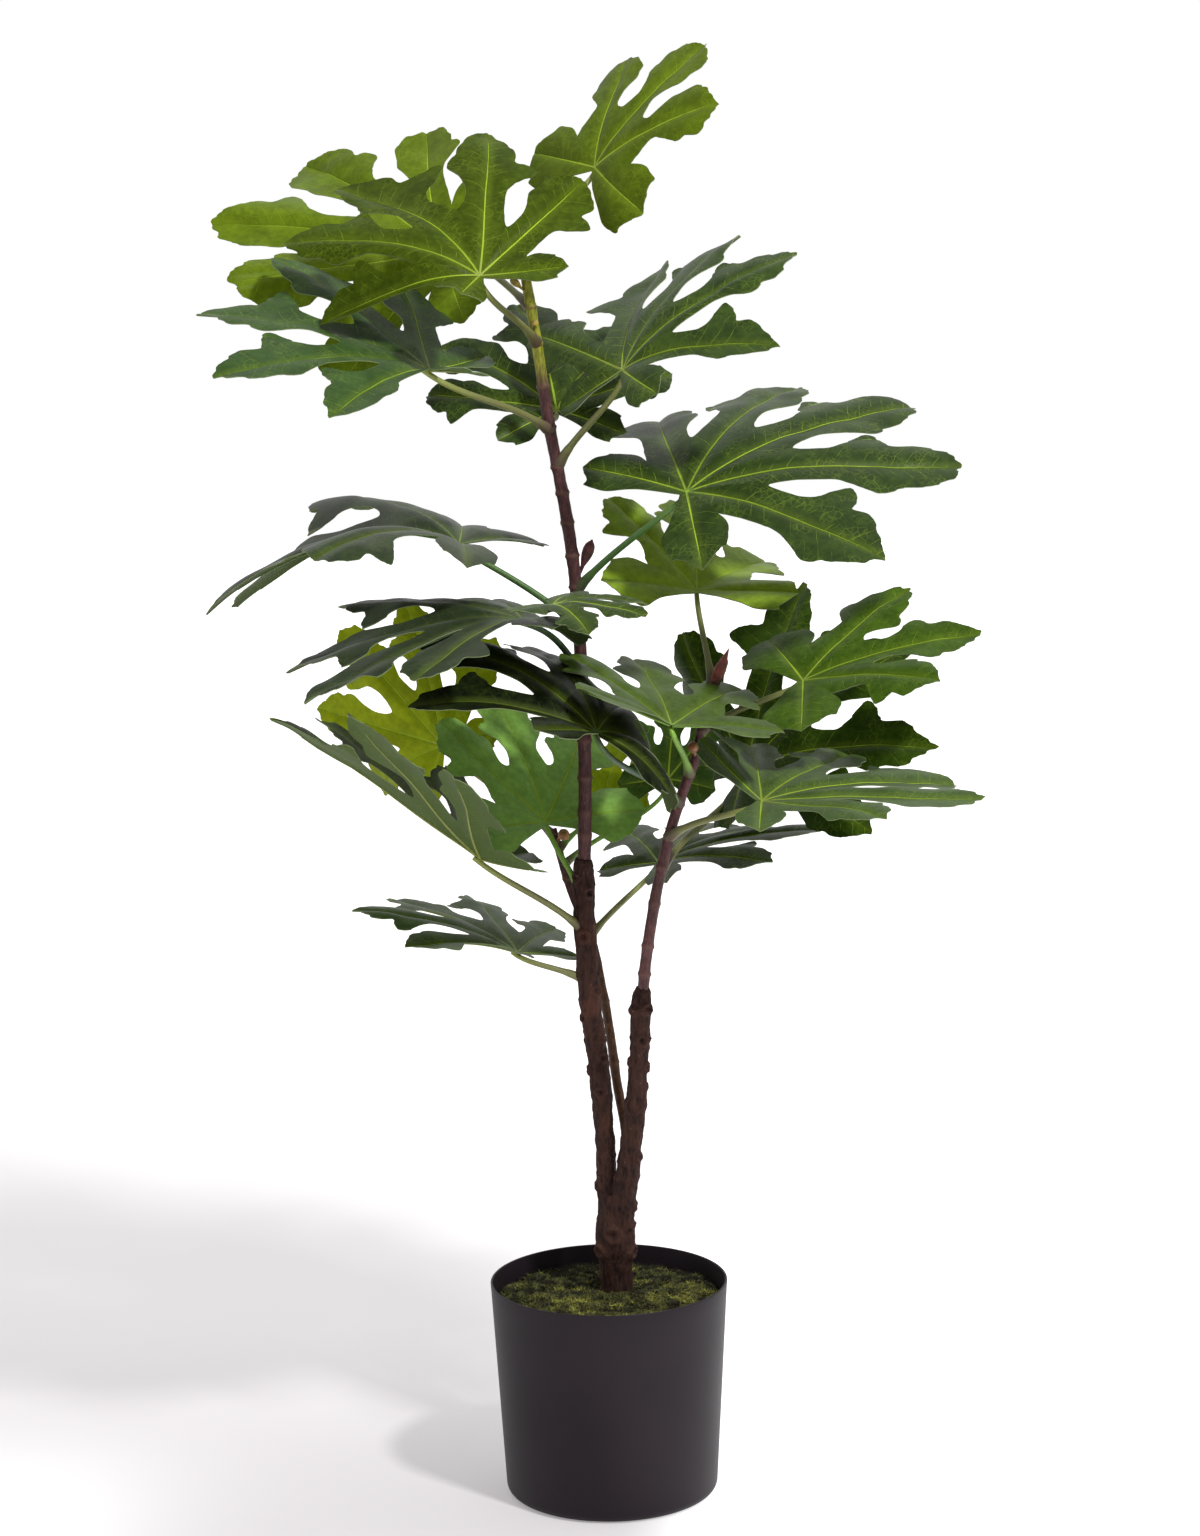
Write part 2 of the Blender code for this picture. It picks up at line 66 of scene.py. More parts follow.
Stem = namedtuple("Stem", "route radii nodes swelling")
Die = namedtuple("Die", "angles lengths widths bays notch teeth club")
Leaf = namedtuple("Leaf", "stem height hub heading pitch roll size curl lifts tint die mirrored")
Tint = namedtuple("Tint", "color clear sheen paleness use")
Knot = namedtuple("Knot", "x y z radius height")

# A stem has a route of points, its radius at each, the heights of its rings and how far a ring stands out.
FOOT = Stem(
    [(0.0065, 0.004, TRUNK_LOW.z), (0.0065, 0.004, 0.190), (0.0060, 0.002, 0.213), (0.0055, 0.0, 0.236),
     (0.0055, -0.002, 0.256)],
    [0.0130, 0.0132, 0.0165, 0.0140, 0.0085],
    [], 0.0)
LEFT_LEG = Stem(
    [(0.0020, 0.002, 0.220), (-0.0003, 0.001, 0.255), (-0.0012, 0.0, 0.300), (-0.0058, 0.0, 0.368),
     (-0.0115, 0.0, 0.419), (-0.0145, 0.0, 0.477), (-0.0144, 0.0, TRUNK_HIGH.z - 0.003),
     (-0.0143, 0.0, TRUNK_HIGH.z + 0.006)],
    [0.0080, 0.0082, 0.0080, 0.0084, 0.0088, 0.0088, 0.0080, 0.0056],
    [0.287, 0.337, 0.385, 0.440, 0.516], 0.0009)
RIGHT_LEG = Stem(
    [(0.0090, -0.003, 0.220), (0.0135, -0.008, 0.2515), (0.0228, -0.017, 0.322), (0.0276, -0.023, 0.374),
     (0.0292, -0.0275, 0.410), (0.0308, -0.028, 0.4275), (0.0312, -0.0282, 0.4365)],
    [0.0100, 0.0098, 0.0086, 0.0078, 0.0084, 0.0078, 0.0050],
    [0.272, 0.335, 0.392, 0.418], 0.0009)
BACK_STEM = Stem(
    [(0.0180, -0.014, 0.285), (0.0155, 0.004, 0.310), (0.0096, 0.018, 0.343), (0.0045, 0.027, 0.384),
     (-0.0015, 0.034, 0.421), (-0.0091, 0.040, 0.4585), (-0.0241, 0.047, 0.496), (-0.0327, 0.053, 0.5236),
     (-0.0397, 0.058, 0.5505)],
    [0.0040, 0.0040, 0.0039, 0.0038, 0.0037, 0.0036, 0.0035, 0.0034, 0.0030],
    [0.360, 0.410, 0.462, 0.510, 0.541], 0.0006)
MAIN_STEM = Stem(
    [(-0.0144, 0.0, 0.522), (-0.0123, 0.0, 0.602), (-0.0128, 0.0, 0.6676), (-0.0161, 0.0, 0.749),
     (-0.0208, 0.0, 0.798), (-0.0279, 0.0, 0.846), (-0.0358, 0.0, 0.890), (-0.0414, 0.0, 0.934),
     (-0.0469, 0.0, 0.974), (-0.0518, 0.0, 1.006), (-0.0553, 0.0, 1.033), (-0.0568, 0.0, 1.050)],
    [0.0054, 0.0053, 0.0052, 0.0050, 0.0050, 0.0048, 0.0047, 0.0045, 0.0042, 0.0040, 0.0032, 0.0008],
    [0.556, 0.575, 0.604, 0.635, 0.668, 0.690, 0.727, 0.760, 0.785, 0.812, 0.836, 0.857, 0.888, 0.921, 0.955,
     0.984, 1.012], 0.0009)
RIGHT_STEM = Stem(
    [(0.0308, -0.028, 0.421), (0.0345, -0.029, 0.4586), (0.0425, -0.030, 0.508), (0.0502, -0.030, 0.5426),
     (0.0587, -0.030, 0.5745), (0.0696, -0.030, 0.606), (0.0762, -0.030, 0.6225), (0.0805, -0.030, 0.643),
     (0.0881, -0.030, 0.6726), (0.0938, -0.030, 0.687), (0.0985, -0.030, 0.698), (0.1024, -0.030, 0.708)],
    [0.0047, 0.0046, 0.0045, 0.0044, 0.0043, 0.0042, 0.0038, 0.0035, 0.0034, 0.0040, 0.0033, 0.0008],
    [0.447, 0.470, 0.505, 0.535, 0.560, 0.587, 0.611, 0.646, 0.674], 0.0008)
STEMS = {"left_leg": LEFT_LEG, "back_stem": BACK_STEM, "main_stem": MAIN_STEM, "right_stem": RIGHT_STEM}

# Unripe figs and buds: where each starts, its tip, its greatest radius and its colour.
FRUITS = [
    ((-0.0520, -0.002, 0.996), (-0.0640, -0.008, 1.008), 0.0032, "yellow"),
    ((-0.0485, -0.002, 0.969), (-0.0440, -0.009, 0.9735), 0.0030, "yellow"),
    ((-0.0160, 0.002, 0.764), (-0.0030, 0.006, 0.797), 0.0048, "purple"),
    ((0.0900, -0.030, 0.680), (0.1045, -0.030, 0.7125), 0.0048, "red"),
    ((0.0770, -0.031, 0.624), (0.0735, -0.040, 0.6385), 0.0046, "orange"),
    ((-0.0366, 0.055, 0.541), (-0.0285, 0.044, 0.550), 0.0050, "orange"),
]

# Knots on the trunk and legs: the middle of each, its radius and how far its lip stands out.
KNOTS = [
    Knot(-0.006, -0.006, 0.207, 0.0050, 0.0016), Knot(0.021, -0.004, 0.205, 0.0050, 0.0020),
    Knot(0.004, -0.013, 0.222, 0.0060, 0.0012), Knot(0.018, -0.007, 0.229, 0.0034, 0.0016),
    Knot(0.020, -0.008, 0.246, 0.0036, 0.0016), Knot(0.012, -0.012, 0.262, 0.0038, 0.0012),
    Knot(-0.009, -0.004, 0.262, 0.0034, 0.0014), Knot(0.026, -0.017, 0.290, 0.0034, 0.0013),
    Knot(0.022, -0.020, 0.318, 0.0036, 0.0012), Knot(-0.004, -0.008, 0.343, 0.0036, 0.0013),
    Knot(-0.013, -0.002, 0.360, 0.0032, 0.0014), Knot(-0.001, -0.008, 0.372, 0.0034, 0.0012),
    Knot(0.034, -0.026, 0.368, 0.0032, 0.0014), Knot(0.021, -0.024, 0.372, 0.0032, 0.0012),
    Knot(0.030, -0.034, 0.392, 0.0040, 0.0014), Knot(-0.018, -0.006, 0.405, 0.0034, 0.0014),
    Knot(-0.006, -0.007, 0.428, 0.0036, 0.0012), Knot(0.034, -0.034, 0.419, 0.0040, 0.0015),
    Knot(0.025, -0.032, 0.417, 0.0036, 0.0014), Knot(-0.016, -0.009, 0.474, 0.0044, 0.0014),
    Knot(-0.010, -0.008, 0.510, 0.0036, 0.0012), Knot(-0.020, -0.004, 0.522, 0.0034, 0.0014),
    Knot(-0.008, 0.008, 0.300, 0.0036, 0.0013), Knot(-0.010, 0.009, 0.392, 0.0036, 0.0013),
    Knot(-0.012, 0.009, 0.456, 0.0036, 0.0013), Knot(0.016, -0.002, 0.300, 0.0034, 0.0012),
    Knot(0.030, -0.018, 0.350, 0.0034, 0.0012), Knot(0.012, 0.016, 0.215, 0.0050, 0.0016),
]

# A blade's die: lobe angles from the centre lobe in degrees, lengths and half-widths as shares of the centre
# lobe, how far out each bay starts, the depth of the notch at the stalk, how big a tooth each lobe has, right
# and left, and how much the lobes swell at their ends.
SEVEN_LOBED = Die((-118, -68, -33, 0, 33, 68, 118), (0.40, 0.78, 0.97, 1.0, 0.97, 0.78, 0.40),
                  (0.105, 0.135, 0.140, 0.145, 0.140, 0.135, 0.105), (0.22, 0.31, 0.40, 0.40, 0.31, 0.22),
                  0.03, ((0.2, 0.2), (0.1, 0.8), (0.1, 0.9), (0.1, 1.0), (0.1, 0.9), (0.1, 0.7), (0.2, 0.2)),
                  0.0)
FIVE_LOBED = Die((-100, -37, 0, 37, 100), (0.58, 0.88, 1.0, 0.88, 0.58),
                 (0.205, 0.165, 0.165, 0.165, 0.205), (0.33, 0.42, 0.42, 0.33), 0.03,
                 ((0.2, 0.2), (0.6, 0.3), (0.3, 0.5), (0.3, 0.6), (0.2, 0.2)), 0.0)


def fig_leaf(stem, height, hub, aim, size, curl, lifts, tint, mirrored=False, club=0.0):
    """A leaf, cut with the die for its number of lobes."""
    die = FIVE_LOBED if len(lifts) == len(FIVE_LOBED.angles) else SEVEN_LOBED
    return Leaf(stem, height, hub, *aim, size, curl, lifts, tint, die._replace(club=club), mirrored)


# Every leaf: the stem and height it grows from, its hub where the veins meet, the way its centre lobe heads,
# rises and rolls, its centre lobe's length, its droop, how far each lobe lifts, and its tint, all angles in
# degrees. The leaves are numbered from 1 in this order.
LEAVES = [
    fig_leaf("main_stem", 1.036, (0.004, 0.030, 1.092), (5, 60, 25), 0.135, 25,
             (-15, -15, -20, -15, 5), "young", club=1.0),
    fig_leaf("main_stem", 0.955, (-0.086, -0.090, 1.016), (137, 51, -5), 0.170, 37,
             (37, 15, -4, -33, -40, -57, 22), "olive", mirrored=True),
    fig_leaf("main_stem", 0.984, (-0.122, 0.090, 1.025), (164, 4, -62), 0.186, 35,
             (-6, -26, -18, 12, 32, 0, 0), "young", mirrored=True, club=0.6),
    fig_leaf("main_stem", 0.886, (-0.126, -0.090, 0.944), (176, 25, 5), 0.185, 25,
             (20, 20, 8, -12, -25, -30, 8), "middle", mirrored=True),
    fig_leaf("main_stem", 0.857, (0.023, -0.040, 0.937), (53, 53, -33), 0.170, 28,
             (-27, -46, -31, -20, -11, 21, 12), "dark"),
    fig_leaf("main_stem", 0.892, (-0.030, 0.050, 0.897), (100, 42, -5), 0.145, 25,
             (-15, -15, -15, -10, -15, -15, -5), "dark"),
    fig_leaf("main_stem", 0.757, (0.072, -0.050, 0.841), (25, 27, 21), 0.228, 44,
             (-18, -14, -15, -18, -20, -23, -4), "dark"),
    fig_leaf("right_stem", 0.681, (0.081, 0.020, 0.752), (90, 28, 10), 0.140, 25,
             (15, -18, -5, 5, 5), "sunny"),
    fig_leaf("main_stem", 0.727, (-0.110, 0.010, 0.795), (158, 15, 5), 0.220, 60,
             (-10, -15, -10, -35, -32, -15, -20), "dusky"),
    fig_leaf("main_stem", 0.690, (-0.059, -0.080, 0.747), (170, 0, 5), 0.195, 25,
             (-35, 0, 0, -15, -22, -20, -10), "dusky"),
    fig_leaf("back_stem", 0.543, (-0.133, 0.150, 0.605), (150, 45, -65), 0.130, 25,
             (0, 10, 20, 10, -15, -50, -30), "lime"),
    fig_leaf("right_stem", 0.587, (-0.002, -0.155, 0.669), (106, 24, 7), 0.187, 50,
             (-50, -56, -31, -13, -5, -11, 8), "deep", mirrored=True),
    fig_leaf("left_leg", 0.502, (-0.045, 0.020, 0.564), (113, 42, -3), 0.138, 25,
             (15, -10, 0, 8, 15), "bright"),
    fig_leaf("left_leg", 0.476, (-0.096, -0.050, 0.549), (180, 30, 5), 0.197, 15,
             (10, 15, 8, 5, 20, 25, 15), "dark"),
    fig_leaf("left_leg", 0.434, (-0.070, 0.000, 0.460), (142, 20, 17), 0.142, 25,
             (10, 5, 0, -10, -12, -15, 5), "pale"),
    fig_leaf("right_stem", 0.611, (0.056, -0.130, 0.669), (100, 3, 12), 0.148, 25,
             (5, 8, 8, 10, 12), "soft"),
    fig_leaf("right_stem", 0.646, (0.164, -0.020, 0.684), (2, 18, 23), 0.146, 25,
             (5, 5, -5, 0, -10), "fresh"),
    fig_leaf("right_stem", 0.534, (0.121, 0.100, 0.588), (-10, 53, 28), 0.178, 25,
             (8, -35, -30, -20, 3, 33, 0), "shady"),
    fig_leaf("right_stem", 0.560, (0.126, -0.120, 0.606), (22, 7, 20), 0.175, 25,
             (10, 20, 5, -10, -18, -18, 30), "pale"),
    fig_leaf("left_leg", 0.467, (0.047, 0.050, 0.522), (35, 28, -5), 0.145, 25,
             (0, -10, -20, -28, -22, -5, 0), "dark"),
    fig_leaf("back_stem", 0.520, (0.056, 0.055, 0.591), (75, 62, 0), 0.072, 25, (0, 0, 0, 0, 0), "middle"),
    fig_leaf("back_stem", 0.533, (0.002, 0.100, 0.565), (70, 40, 0), 0.075, 25, (0, 0, 0, 0, 0), "lime"),
    fig_leaf("main_stem", 0.740, (-0.034, -0.120, 0.764), (-30, 10, 10), 0.082, 25,
             (10, -15, -15, -18, -12), "dark"),
]

# Each tint of blade: its colour, how clearly its veins are printed, its sheen, how pale its back is and
# which leaves have it.
TINTS = {
    "young": Tint((0.080, 0.122, 0.004), 0.8, 0.04, 0.20, "the top leaves"),
    "lime": Tint((0.230, 0.290, 0.005), 0.5, 0.03, 0.08, "the brightest leaves"),
    # Painted light: the sunny tint lightens a leaf that others shade.
    "sunny": Tint((0.230, 0.345, 0.026), 0.7, 0.05, 0.25, "a yellow-green leaf"),
    "olive": Tint((0.035, 0.057, 0.002), 0.9, 0.04, 0.30, "the olive leaves"),
    # Painted light: the bright tint lightens a leaf that hangs in shade.
    "bright": Tint((0.190, 0.360, 0.070), 0.9, 0.05, 0.30, "a bright green leaf"),
    "fresh": Tint((0.035, 0.074, 0.006), 0.8, 0.04, 0.35, "the fresh green leaves"),
    "soft": Tint((0.050, 0.088, 0.014), 0.5, 0.06, 0.45, "the softer green leaves"),
    "pale": Tint((0.054, 0.094, 0.024), 0.8, 0.08, 0.50, "the pale leaves"),
    "middle": Tint((0.034, 0.075, 0.014), 0.9, 0.09, 0.50, "the mid-green leaves"),
    "dark": Tint((0.024, 0.046, 0.009), 1.0, 0.09, 0.50, "the dark leaves"),
    "shady": Tint((0.019, 0.042, 0.003), 0.8, 0.05, 0.40, "a dark leaf behind the others"),
    "dusky": Tint((0.022, 0.034, 0.016), 0.35, 0.13, 0.50, "the grey-green leaves"),
    # Painted shade: the deep tint makes almost black a leaf that hangs in the others' shade.
    "deep": Tint((0.003, 0.005, 0.003), 0.22, 0.08, 0.40, "the darkest leaf"),
}
# The leaves whose slot isn't dark_leaf, and those whose stalk isn't olive.
SLOTS = {"young_leaf": (1, 2, 3, 11, 17, 22), "leaf": (8, 13, 15, 16, 19, 21)}
STALKS = {"green": (7, 9), "lime": (13, 16, 21, 22), "dusk": (10, 12, 23)}
# Each tint of stalk: at the stem, along it and at the blade.
STALK_TINTS = {
    "olive": ((0.085, 0.055, 0.030), (0.16, 0.165, 0.050), (0.22, 0.25, 0.050)),
    "green": ((0.055, 0.060, 0.024), (0.065, 0.150, 0.030), (0.10, 0.20, 0.030)),
    "lime": ((0.080, 0.070, 0.030), (0.17, 0.33, 0.040), (0.21, 0.40, 0.040)),
    "dusk": ((0.045, 0.035, 0.018), (0.035, 0.070, 0.030), (0.06, 0.11, 0.030)),
}
FRUIT_TINTS = {"yellow": (0.30, 0.22, 0.03), "purple": (0.120, 0.034, 0.034),
               "orange": (0.28, 0.125, 0.040), "red": (0.260, 0.060, 0.045)}
# The outline of a fig and of a pointed bud: shares of the length and of the greatest radius.
FIG_PROFILE = ((0.0, 0.30), (0.2, 0.28), (0.38, 0.36), (0.52, 0.72), (0.64, 0.94), (0.76, 1.0),
               (0.86, 0.86), (0.93, 0.55), (0.96, 0.30), (1.0, 0.12))
BUD_PROFILE = ((0.0, 0.60), (0.15, 0.72), (0.3, 0.92), (0.42, 1.0), (0.55, 0.90), (0.7, 0.62),
               (0.83, 0.36), (0.93, 0.18), (1.0, 0.05))

BLACK = (0.0, 0.0, 0.0)
WHITE = (1.0, 1.0, 1.0)
RUST = (0.120, 0.040, 0.020)
PAINTED_BARK_GLINT = (0.20, 0.105, 0.070)
RING_SCAR = (0.14, 0.075, 0.045)
STEM_DOT = (0.24, 0.17, 0.12)
PALE_BACK = (0.105, 0.148, 0.044)

# The waves of a blade's cut edge: how close they are and how high, as shares of the centre lobe.
EDGE_WOBBLE = ((13.0, 0.016), (26.0, 0.016), (70.0, 0.007))
# How far a lobe may sweep aside, in degrees, and in how many steps a blade bends.
LOBE_SWEEP = 6.0
BEND_STEPS = 12
# Veins and ribs of a blade, in metres.
SIDE_VEIN_SPACING = 0.0118
RIB_POINTS = 12
RIB_RADIUS = 0.0011
RIB_TAPER = 0.0008
RIB_GAP = 0.0001
# Stalks, in metres, with the sheath and the collar at their start.
STALK_STEPS = 40
STALK_NECK = 0.0022
STALK_MIDDLE = 0.0029
STALK_FLARE = 0.0024
FLARE_LENGTH = 0.011
COLLAR_PLACE = 0.015
COLLAR_WIDTH = 0.003
COLLAR_HEIGHT = 0.0004
# Stems and trunk, in metres.
RING_WIDTH = 0.0013
RING_SHOULDER = 0.005
RING_SCAR_WIDTH = 0.0016
STEM_RELIEF = 0.00022
SCAR_WIDTH = 0.0012
SCAR_HEIGHT = 0.0004
KNOT_STRENGTH = 1.45
# Pot and moss, in metres.
POT_FOOT_RADIUS = 0.0875
POT_FLOOR_THICKNESS = 0.0045
MOSS_CROWN = 0.003
STRANDS_PER_TUFT = 11
STRAND_ROOT_RADIUS = 0.00042
STRAND_TIP_RADIUS = 0.00008

# The camera: metres and degrees.
CAMERA_DISTANCE = 3.31
CAMERA_HEIGHT = 1.237
CAMERA_PITCH = 10.7
CAMERA_ROLL = -1.0
PHOTO_HEIGHT_PX = 1536
FOCAL_LENGTH_PX = 4164
SENSOR_MM = 36.0
# The floor's own glow, painted light that leaves a painted shade behind and to the left of the pot: in the
# shade, at its far side, round its rim and in front of the pot.
SHADE_GLOW = (0.335, 0.318, 0.324)
FAR_SHADE_GLOW = (0.42, 0.403, 0.410)
SHADE_RIM_GLOW = (0.65, 0.64, 0.645)
FRONT_GLOW = (0.27, 0.255, 0.262)
LIT_CORNER = (-0.60, -0.20, 0.0)
DIM_FRONT = (-0.17, -0.13, 0.0)
BRIGHT_SIDE_OF_ROOM = (-0.15, 0.50, 0.85)


def colour(name, default, description):
    """A colour setting."""
    return FloatVectorProperty(name=name, description=description, subtype="COLOR", min=0.0, max=1.0,
                               default=default)


def number(name, default, description, **more):
    """A setting that is a number from 0 up."""
    return FloatProperty(name=name, description=description, default=default, min=0.0, **more)


def whole(name, default, description):
    """A setting that is a whole number."""
    return IntProperty(name=name, description=description, default=default, min=0)


def distance(name, default, description):
    """A length setting in metres."""
    return number(name, default, description, subtype="DISTANCE", unit="LENGTH", precision=5)


def spot(name, default, description):
    """A setting that is a place."""
    return FloatVectorProperty(name=name, description=description, subtype="XYZ", default=default)


class PotSettings(bpy.types.PropertyGroup):
    wall: distance("Wall", 0.0018, "Thickness of the pot's wall at the rim")
    foot_round: distance("Foot rounding", 0.0085, "Radius of the rounded edge under the pot")
    sides: whole("Sides", 160, "Facets around the pot")
    plastic: colour("Plastic", (0.0120, 0.0078, 0.0110), "Colour of the pot's matte plastic")
    cement: colour("Cement", (0.30, 0.29, 0.27), "Colour of the weight in the pot")
    foam: colour("Foam", (0.28, 0.25, 0.16), "Colour of the foam under the moss")


class MossSettings(bpy.types.PropertyGroup):
    cell: distance("Cell", 0.0022, "Size of the mesh cells of the moss bed")
    relief: distance("Relief", 0.0060, "Height of the clumps of the moss bed")
    tufts: whole("Tufts", 1900, "Number of tufts of strands")
    strand: distance("Strand", 0.0042, "Length of a moss strand")
    # The light and dark strands are lit and shaded copies of the moss: painted light on the light strands,
    # painted shade on the dark ones, whose colour the bed also takes between its clumps.
    light: colour("Light strands", (0.270, 0.265, 0.052), "Colour of the sunlit moss")
    green: colour("Green strands", (0.095, 0.098, 0.024), "Colour of most of the moss")
    dark: colour("Dark strands", (0.018, 0.016, 0.008), "Colour of the moss between the clumps")


class WoodSettings(bpy.types.PropertyGroup):
    voxel: distance("Voxel", 0.0011, "Size of the cells that join the trunk's limbs")
    relief: distance("Bark relief", 0.0011, "Depth of the bark's grooves")
    bark_dark: colour("Bark grooves", (0.006, 0.003, 0.003), "Colour in the bark's grooves")
    bark_light: colour("Bark ridges", (0.043, 0.0168, 0.0117), "Colour on the bark's ridges")
    stem: colour("Stem", (0.102, 0.036, 0.036), "Colour of the upper stems")
    shoot: colour("Shoot", (0.320, 0.330, 0.028), "Colour of the young end of the main stem")


class LeafSettings(bpy.types.PropertyGroup):
    cell: distance("Cell", 0.0034, "Size of the mesh cells of a blade")
    thickness: distance("Thickness", 0.0007, "Thickness of a blade")
    pleat: number("Pleat", 0.020, "Depth of the fold at each vein, as a share of the leaf")
    ripple: number("Ripple", 0.022, "Height of the blade's waves, as a share of the leaf")
    vein: colour("Veins", (0.370, 0.520, 0.040), "Colour of the printed veins")
    edge: colour("Cut edge", (0.150, 0.190, 0.080), "Colour of the blade's cut edge")


for key, tint in TINTS.items():
    LeafSettings.__annotations__[key] = colour(key.title() + " blade", tint.color, "Colour of " + tint.use)


class StageSettings(bpy.types.PropertyGroup):
    floor: colour("Floor", (0.46, 0.447, 0.453), "Colour of the floor")
    floor_radius: distance("Floor radius", 6.0, "Radius of the round floor")
    # The shaded place is painted shade: the floor glows less there.
    shade_centre: spot("Shaded place", (-0.460, 0.388, 0.0), "Middle of the unlit part of the floor")
    shade_length: distance("Shade length", 0.95, "Half the length of the shaded place")
    shade_width: distance("Shade width", 0.66, "Half the width of the shaded place")
    shade_turn: number("Shade turn", radians(133.0), "Which way the shaded place runs", subtype="ANGLE")
    key_power: number("Key light", 120.0, "Power of the key light in watts")
    key_place: spot("Key light place", (1.60, -2.05, 3.45), "Where the key light hangs")
    key_size: distance("Key light size", 0.36, "Side of the square key light")
    room_light: number("Room light", 0.40, "Brightness of the room behind the tree")


class Wire:
    """A value in a material, whose sums add the Math nodes that work them out."""

    def __init__(self, finish, socket):
        self.finish = finish
        self.socket = socket

    def math(self, operation, *values):
        return self.finish.node("ShaderNodeMath", {"operation": operation}, dict(enumerate(values)))

    def __add__(self, other):
        return self.math("ADD", self, other)

    __radd__ = __add__

    def __sub__(self, other):
        return self.math("SUBTRACT", self, other)

    def __rsub__(self, other):
        return self.math("SUBTRACT", other, self)

    def __mul__(self, other):
        return self.math("MULTIPLY", self, other)

    __rmul__ = __mul__

    def __truediv__(self, other):
        return self.math("DIVIDE", self, other)

    def __abs__(self):
        return self.math("ABSOLUTE", self)

    def fraction(self):
        return self.math("FRACT", self)

    def above(self, limit):
        return self.math("GREATER_THAN", self, limit)

    def rise(self, low, high):
        """A smooth step from 0 at low to 1 at high."""
        return self.finish.node("ShaderNodeMapRange", {"interpolation_type": "SMOOTHSTEP"},
                                {0: self, 1: low, 2: high, 3: 0.0, 4: 1.0})

    def fall(self, low, high):
        """A smooth step from 1 at low to 0 at high."""
        return 1.0 - self.rise(low, high)


class Nodes:
    """A node tree and what adds to it."""

    def __init__(self, tree):
        self.tree = tree

    def node(self, kind, settings, inputs, out=0):
        """Adds a node, sets it, feeds its inputs and returns one of its outputs."""
        node = self.tree.nodes.new(kind)
        for key, value in settings.items():
            setattr(node, key, value)
        for key, value in inputs.items():
            self.feed(node.inputs[key], value)
        return Wire(self, node.outputs[out])

    def feed(self, socket, value):
        """Links a wire to a socket, or sets the socket's own value."""
        if isinstance(value, Wire):
            self.tree.links.new(value.socket, socket)
        elif socket.type == "RGBA" and len(value) == 3:
            socket.default_value = (*value, 1.0)
        else:
            socket.default_value = value


class Finish(Nodes):
    """A material: its Principled shader, with its gloss, and the nodes that feed it."""

    def __init__(self, name, gloss):
        self.material = bpy.data.materials.new(name)
        self.material.use_nodes = True
        super().__init__(self.material.node_tree)
        self.shader = self.tree.nodes["Principled BSDF"]
        self.shader.inputs["Specular IOR Level"].default_value = gloss

    @cached_property
    def place(self):
        """The point's own coordinates."""
        return self.node("ShaderNodeTexCoord", {}, {}, out="Object")

    def along(self, vector, axis):
        """One coordinate of a vector: X, Y or Z."""
        return self.node("ShaderNodeSeparateXYZ", {}, {0: vector}, out=axis)

    def away(self, centre):
        """How far a point lies from a centre."""
        return self.node("ShaderNodeVectorMath", {"operation": "DISTANCE"}, {0: self.place, 1: centre},
                         out="Value")

    def attribute(self, name):
        """A value that the mesh holds at its points."""
        return self.node("ShaderNodeAttribute", {"attribute_name": name}, {}, out="Fac")

    def speckle(self, scale, detail=3.0, roughness=0.55, grain=1.0):
        """Cloudy variation from 0 to 1, drawn out along Z by a grain under 1."""
        place = self.place
        if grain < 1.0:
            place = self.node("ShaderNodeVectorMath", {"operation": "MULTIPLY"},
                              {0: place, 1: (1.0, 1.0, grain)})
        return self.node("ShaderNodeTexNoise", {}, {"Vector": place, "Scale": scale, "Detail": detail,
                                                    "Roughness": roughness})

    def blend(self, factor, first, second):
        """A colour between two colours."""
        return self.node("ShaderNodeMix", {"data_type": "RGBA"}, {0: factor, 6: first, 7: second}, out=2)

    def tones(self, factor, tint, low, high):
        """A colour between a darker and a lighter shade of a tint."""
        return self.blend(factor, shade(tint, low), shade(tint, high))

    def coat(self, color, roughness, relief=None, depth=0.0, glow=None):
        """Feeds the shader and returns the material. A relief from 0 to 1 is depth metres high."""
        surface = {"Base Color": color, "Roughness": roughness}
        if relief is not None:
            surface["Normal"] = self.node("ShaderNodeBump", {}, {"Strength": 1.0, "Distance": depth,
                                                                 "Height": relief})
        if glow is not None:
            surface.update({"Emission Color": glow, "Emission Strength": 1.0})
        for name, value in surface.items():
            self.feed(self.shader.inputs[name], value)
        return self.material


def shade(tint, factor):
    """A colour made lighter or darker."""
    return tuple(min(1.0, c * factor) for c in tint)


def mixed(first, second, share):
    """A colour part of the way from one to another."""
    return tuple(a + (b - a) * share for a, b in zip(first, second))


def pot_plastic(settings):
    """Matte charcoal plastic, finely grained, with faint clouds of handling."""
    finish = Finish("pot_plastic", 0.20)
    clouds = finish.speckle(14.0)
    color = finish.tones(clouds.rise(0.35, 0.7), settings.plastic, 1.0, 1.35)
    return finish.coat(color, 0.43 + clouds * 0.14, finish.speckle(2600.0, 1.0), 0.00006)


def rough_fill(name, tint):
    """A coarse filling: cement or foam."""
    finish = Finish(name, 0.3)
    pits = finish.speckle(260.0)
    return finish.coat(finish.tones(pits, tint, 0.75, 1.15), 0.8 + pits * 0.15, pits, 0.0006)


def moss_fibre(name, tint):
    """Dyed moss of one tint, a little uneven: the sunlit, the middle or the shaded copy, so painted light and
    shade.
    """
    finish = Finish(name, 0.25)
    fibres = finish.speckle(420.0, 2.0)
    return finish.coat(finish.tones(fibres.rise(0.3, 0.7), tint, 0.55, 1.45), 0.8 + fibres * 0.15)


def moss_ground(settings):
    """The matted bed under the strands: a darker copy of the shaded moss between its clumps, painted shade,
    and olive on its clumps.
    """
    finish = Finish("moss_ground", 0.2)
    fibres = finish.speckle(700.0, 2.0)
    patch = (finish.speckle(95.0, 4.0, 0.65) * 0.7 + fibres * 0.4).rise(0.42, 0.72)
    color = finish.blend(patch, shade(settings.dark, 0.55), settings.green)
    return finish.coat(color, 0.9 + fibres * 0.08, fibres, 0.0012)


